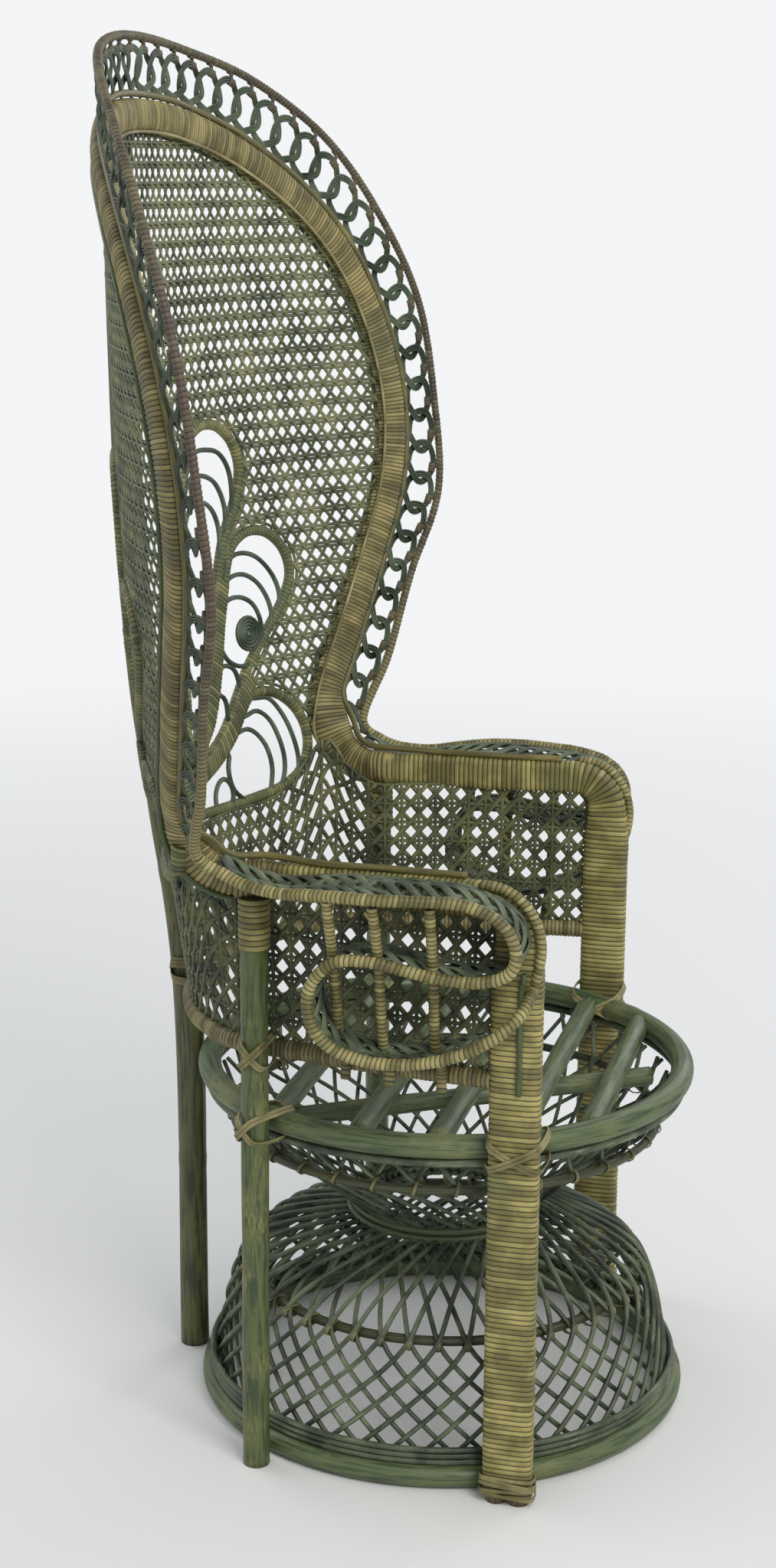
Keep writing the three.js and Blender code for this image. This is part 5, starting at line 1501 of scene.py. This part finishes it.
def stage_floor():
    """A pale round floor that fades away from the chair"""
    bm = bmesh.new()
    bmesh.ops.create_circle(bm, cap_ends=True, segments=96, radius=FLOOR_RADIUS)
    mesh = bpy.data.meshes.new("floor")
    bm.to_mesh(mesh)
    bm.free()
    floor = bpy.data.objects.new("floor", mesh)
    bpy.context.scene.collection.objects.link(floor)
    shader = Shader("pale_floor")
    shader.put(shader.surface.inputs["Base Color"], FLOOR_COLOUR)
    shader.put(shader.surface.inputs["Roughness"], 0.9)
    distance = shader.nodes.new("ShaderNodeVectorMath")
    distance.operation = "LENGTH"
    shader.put(distance.inputs[0], shader.coordinates.outputs["Object"])
    clear = shader.nodes.new("ShaderNodeBsdfTransparent")
    blend = shader.nodes.new("ShaderNodeMixShader")
    shader.put(blend.inputs["Fac"], shader.range(distance.outputs["Value"], *FLOOR_FADE))
    shader.put(blend.inputs[1], shader.surface.outputs["BSDF"])
    shader.put(blend.inputs[2], clear.outputs["BSDF"])
    shader.put(shader.nodes["Material Output"].inputs["Surface"], blend.outputs["Shader"])
    mesh.materials.append(shader.material)


# What the camera sees behind the chair, and the sky and lamps that light it
BACKGROUND_COLOUR = (0.9, 0.91, 0.92, 1)
SKY_COLOUR = (0.93, 0.96, 1, 1)
SKY_STRENGTH = 0.53
LAMPS_AIM = (0, 0, 0.75)
LAMPS = (
    ("key", (-2.6, -2.2, 3.2), 2, 102, (1, 0.97, 0.93)),
    ("fill", (2.8, -1.4, 2.4), 2.6, 30, (0.94, 0.97, 1)),
    ("rear", (0.6, 3.0, 2.6), 2.4, 32, (1, 1, 1)),
)


def daylight():
    world = bpy.data.worlds.new("studio")
    bpy.context.scene.world = world
    world.use_nodes = True
    nodes, links = world.node_tree.nodes, world.node_tree.links
    seen = nodes["Background"]
    seen.inputs["Color"].default_value = BACKGROUND_COLOUR
    seen.inputs["Strength"].default_value = 1
    light = nodes.new("ShaderNodeBackground")
    light.inputs["Color"].default_value = SKY_COLOUR
    light.inputs["Strength"].default_value = SKY_STRENGTH
    ray = nodes.new("ShaderNodeLightPath")
    blend = nodes.new("ShaderNodeMixShader")
    links.new(ray.outputs["Is Camera Ray"], blend.inputs["Fac"])
    links.new(light.outputs["Background"], blend.inputs[1])
    links.new(seen.outputs["Background"], blend.inputs[2])
    links.new(blend.outputs["Shader"], nodes["World Output"].inputs["Surface"])
    for name, place, size, power, colour in LAMPS:
        lamp = bpy.data.lights.new(name, "AREA")
        lamp.size = size
        lamp.energy = power
        lamp.color = colour
        piece = bpy.data.objects.new(name, lamp)
        piece.location = place
        piece.rotation_euler = (Vector(LAMPS_AIM) - Vector(place)).to_track_quat("-Z", "Y").to_euler()
        bpy.context.scene.collection.objects.link(piece)


# The camera fitted to the photograph: its place in metres, its turn, and its lens and middle in pixels
CAMERA_PLACE = (-2.7061, -0.6649, 1.4091)
CAMERA_AZIMUTH = math.radians(-75.872)
CAMERA_DOWN = math.radians(13.885)
CAMERA_ROLL = math.radians(0.462)
IMAGE_WIDTH, IMAGE_HEIGHT = 1013, 2048
FOCAL_PIXELS = 3287.46
MIDDLE_PIXEL = (503.37, 1027.17)


def camera():
    data = bpy.data.cameras.new("camera")
    data.sensor_width = 36
    data.lens = FOCAL_PIXELS / IMAGE_HEIGHT * data.sensor_width
    data.shift_x = (IMAGE_WIDTH / 2 - MIDDLE_PIXEL[0]) / IMAGE_HEIGHT
    data.shift_y = (MIDDLE_PIXEL[1] - IMAGE_HEIGHT / 2) / IMAGE_HEIGHT
    piece = bpy.data.objects.new("camera", data)
    bpy.context.scene.collection.objects.link(piece)
    forward = Vector((-math.sin(CAMERA_AZIMUTH) * math.cos(CAMERA_DOWN),
                      math.cos(CAMERA_AZIMUTH) * math.cos(CAMERA_DOWN), -math.sin(CAMERA_DOWN)))
    level = forward.cross(Vector(UP)).normalized()
    upright = level.cross(forward)
    right = level * math.cos(CAMERA_ROLL) + upright * math.sin(CAMERA_ROLL)
    up = upright * math.cos(CAMERA_ROLL) - level * math.sin(CAMERA_ROLL)
    turn = Matrix((right, up, -forward)).transposed().to_4x4()
    piece.matrix_world = Matrix.Translation(CAMERA_PLACE) @ turn
    bpy.context.scene.camera = piece


floor_and_seat_hoops()
seat_slats()
base_cages()
legs_and_arms()
foot_wraps()
corner_rods()
posts()
back_band()
rim()
chain()
fan()
back_net()
arm_net()
lower_rail()
scrolls()
lashings()
stage_floor()
daylight()
camera()
bpy.context.scene.view_settings.view_transform = "Standard"
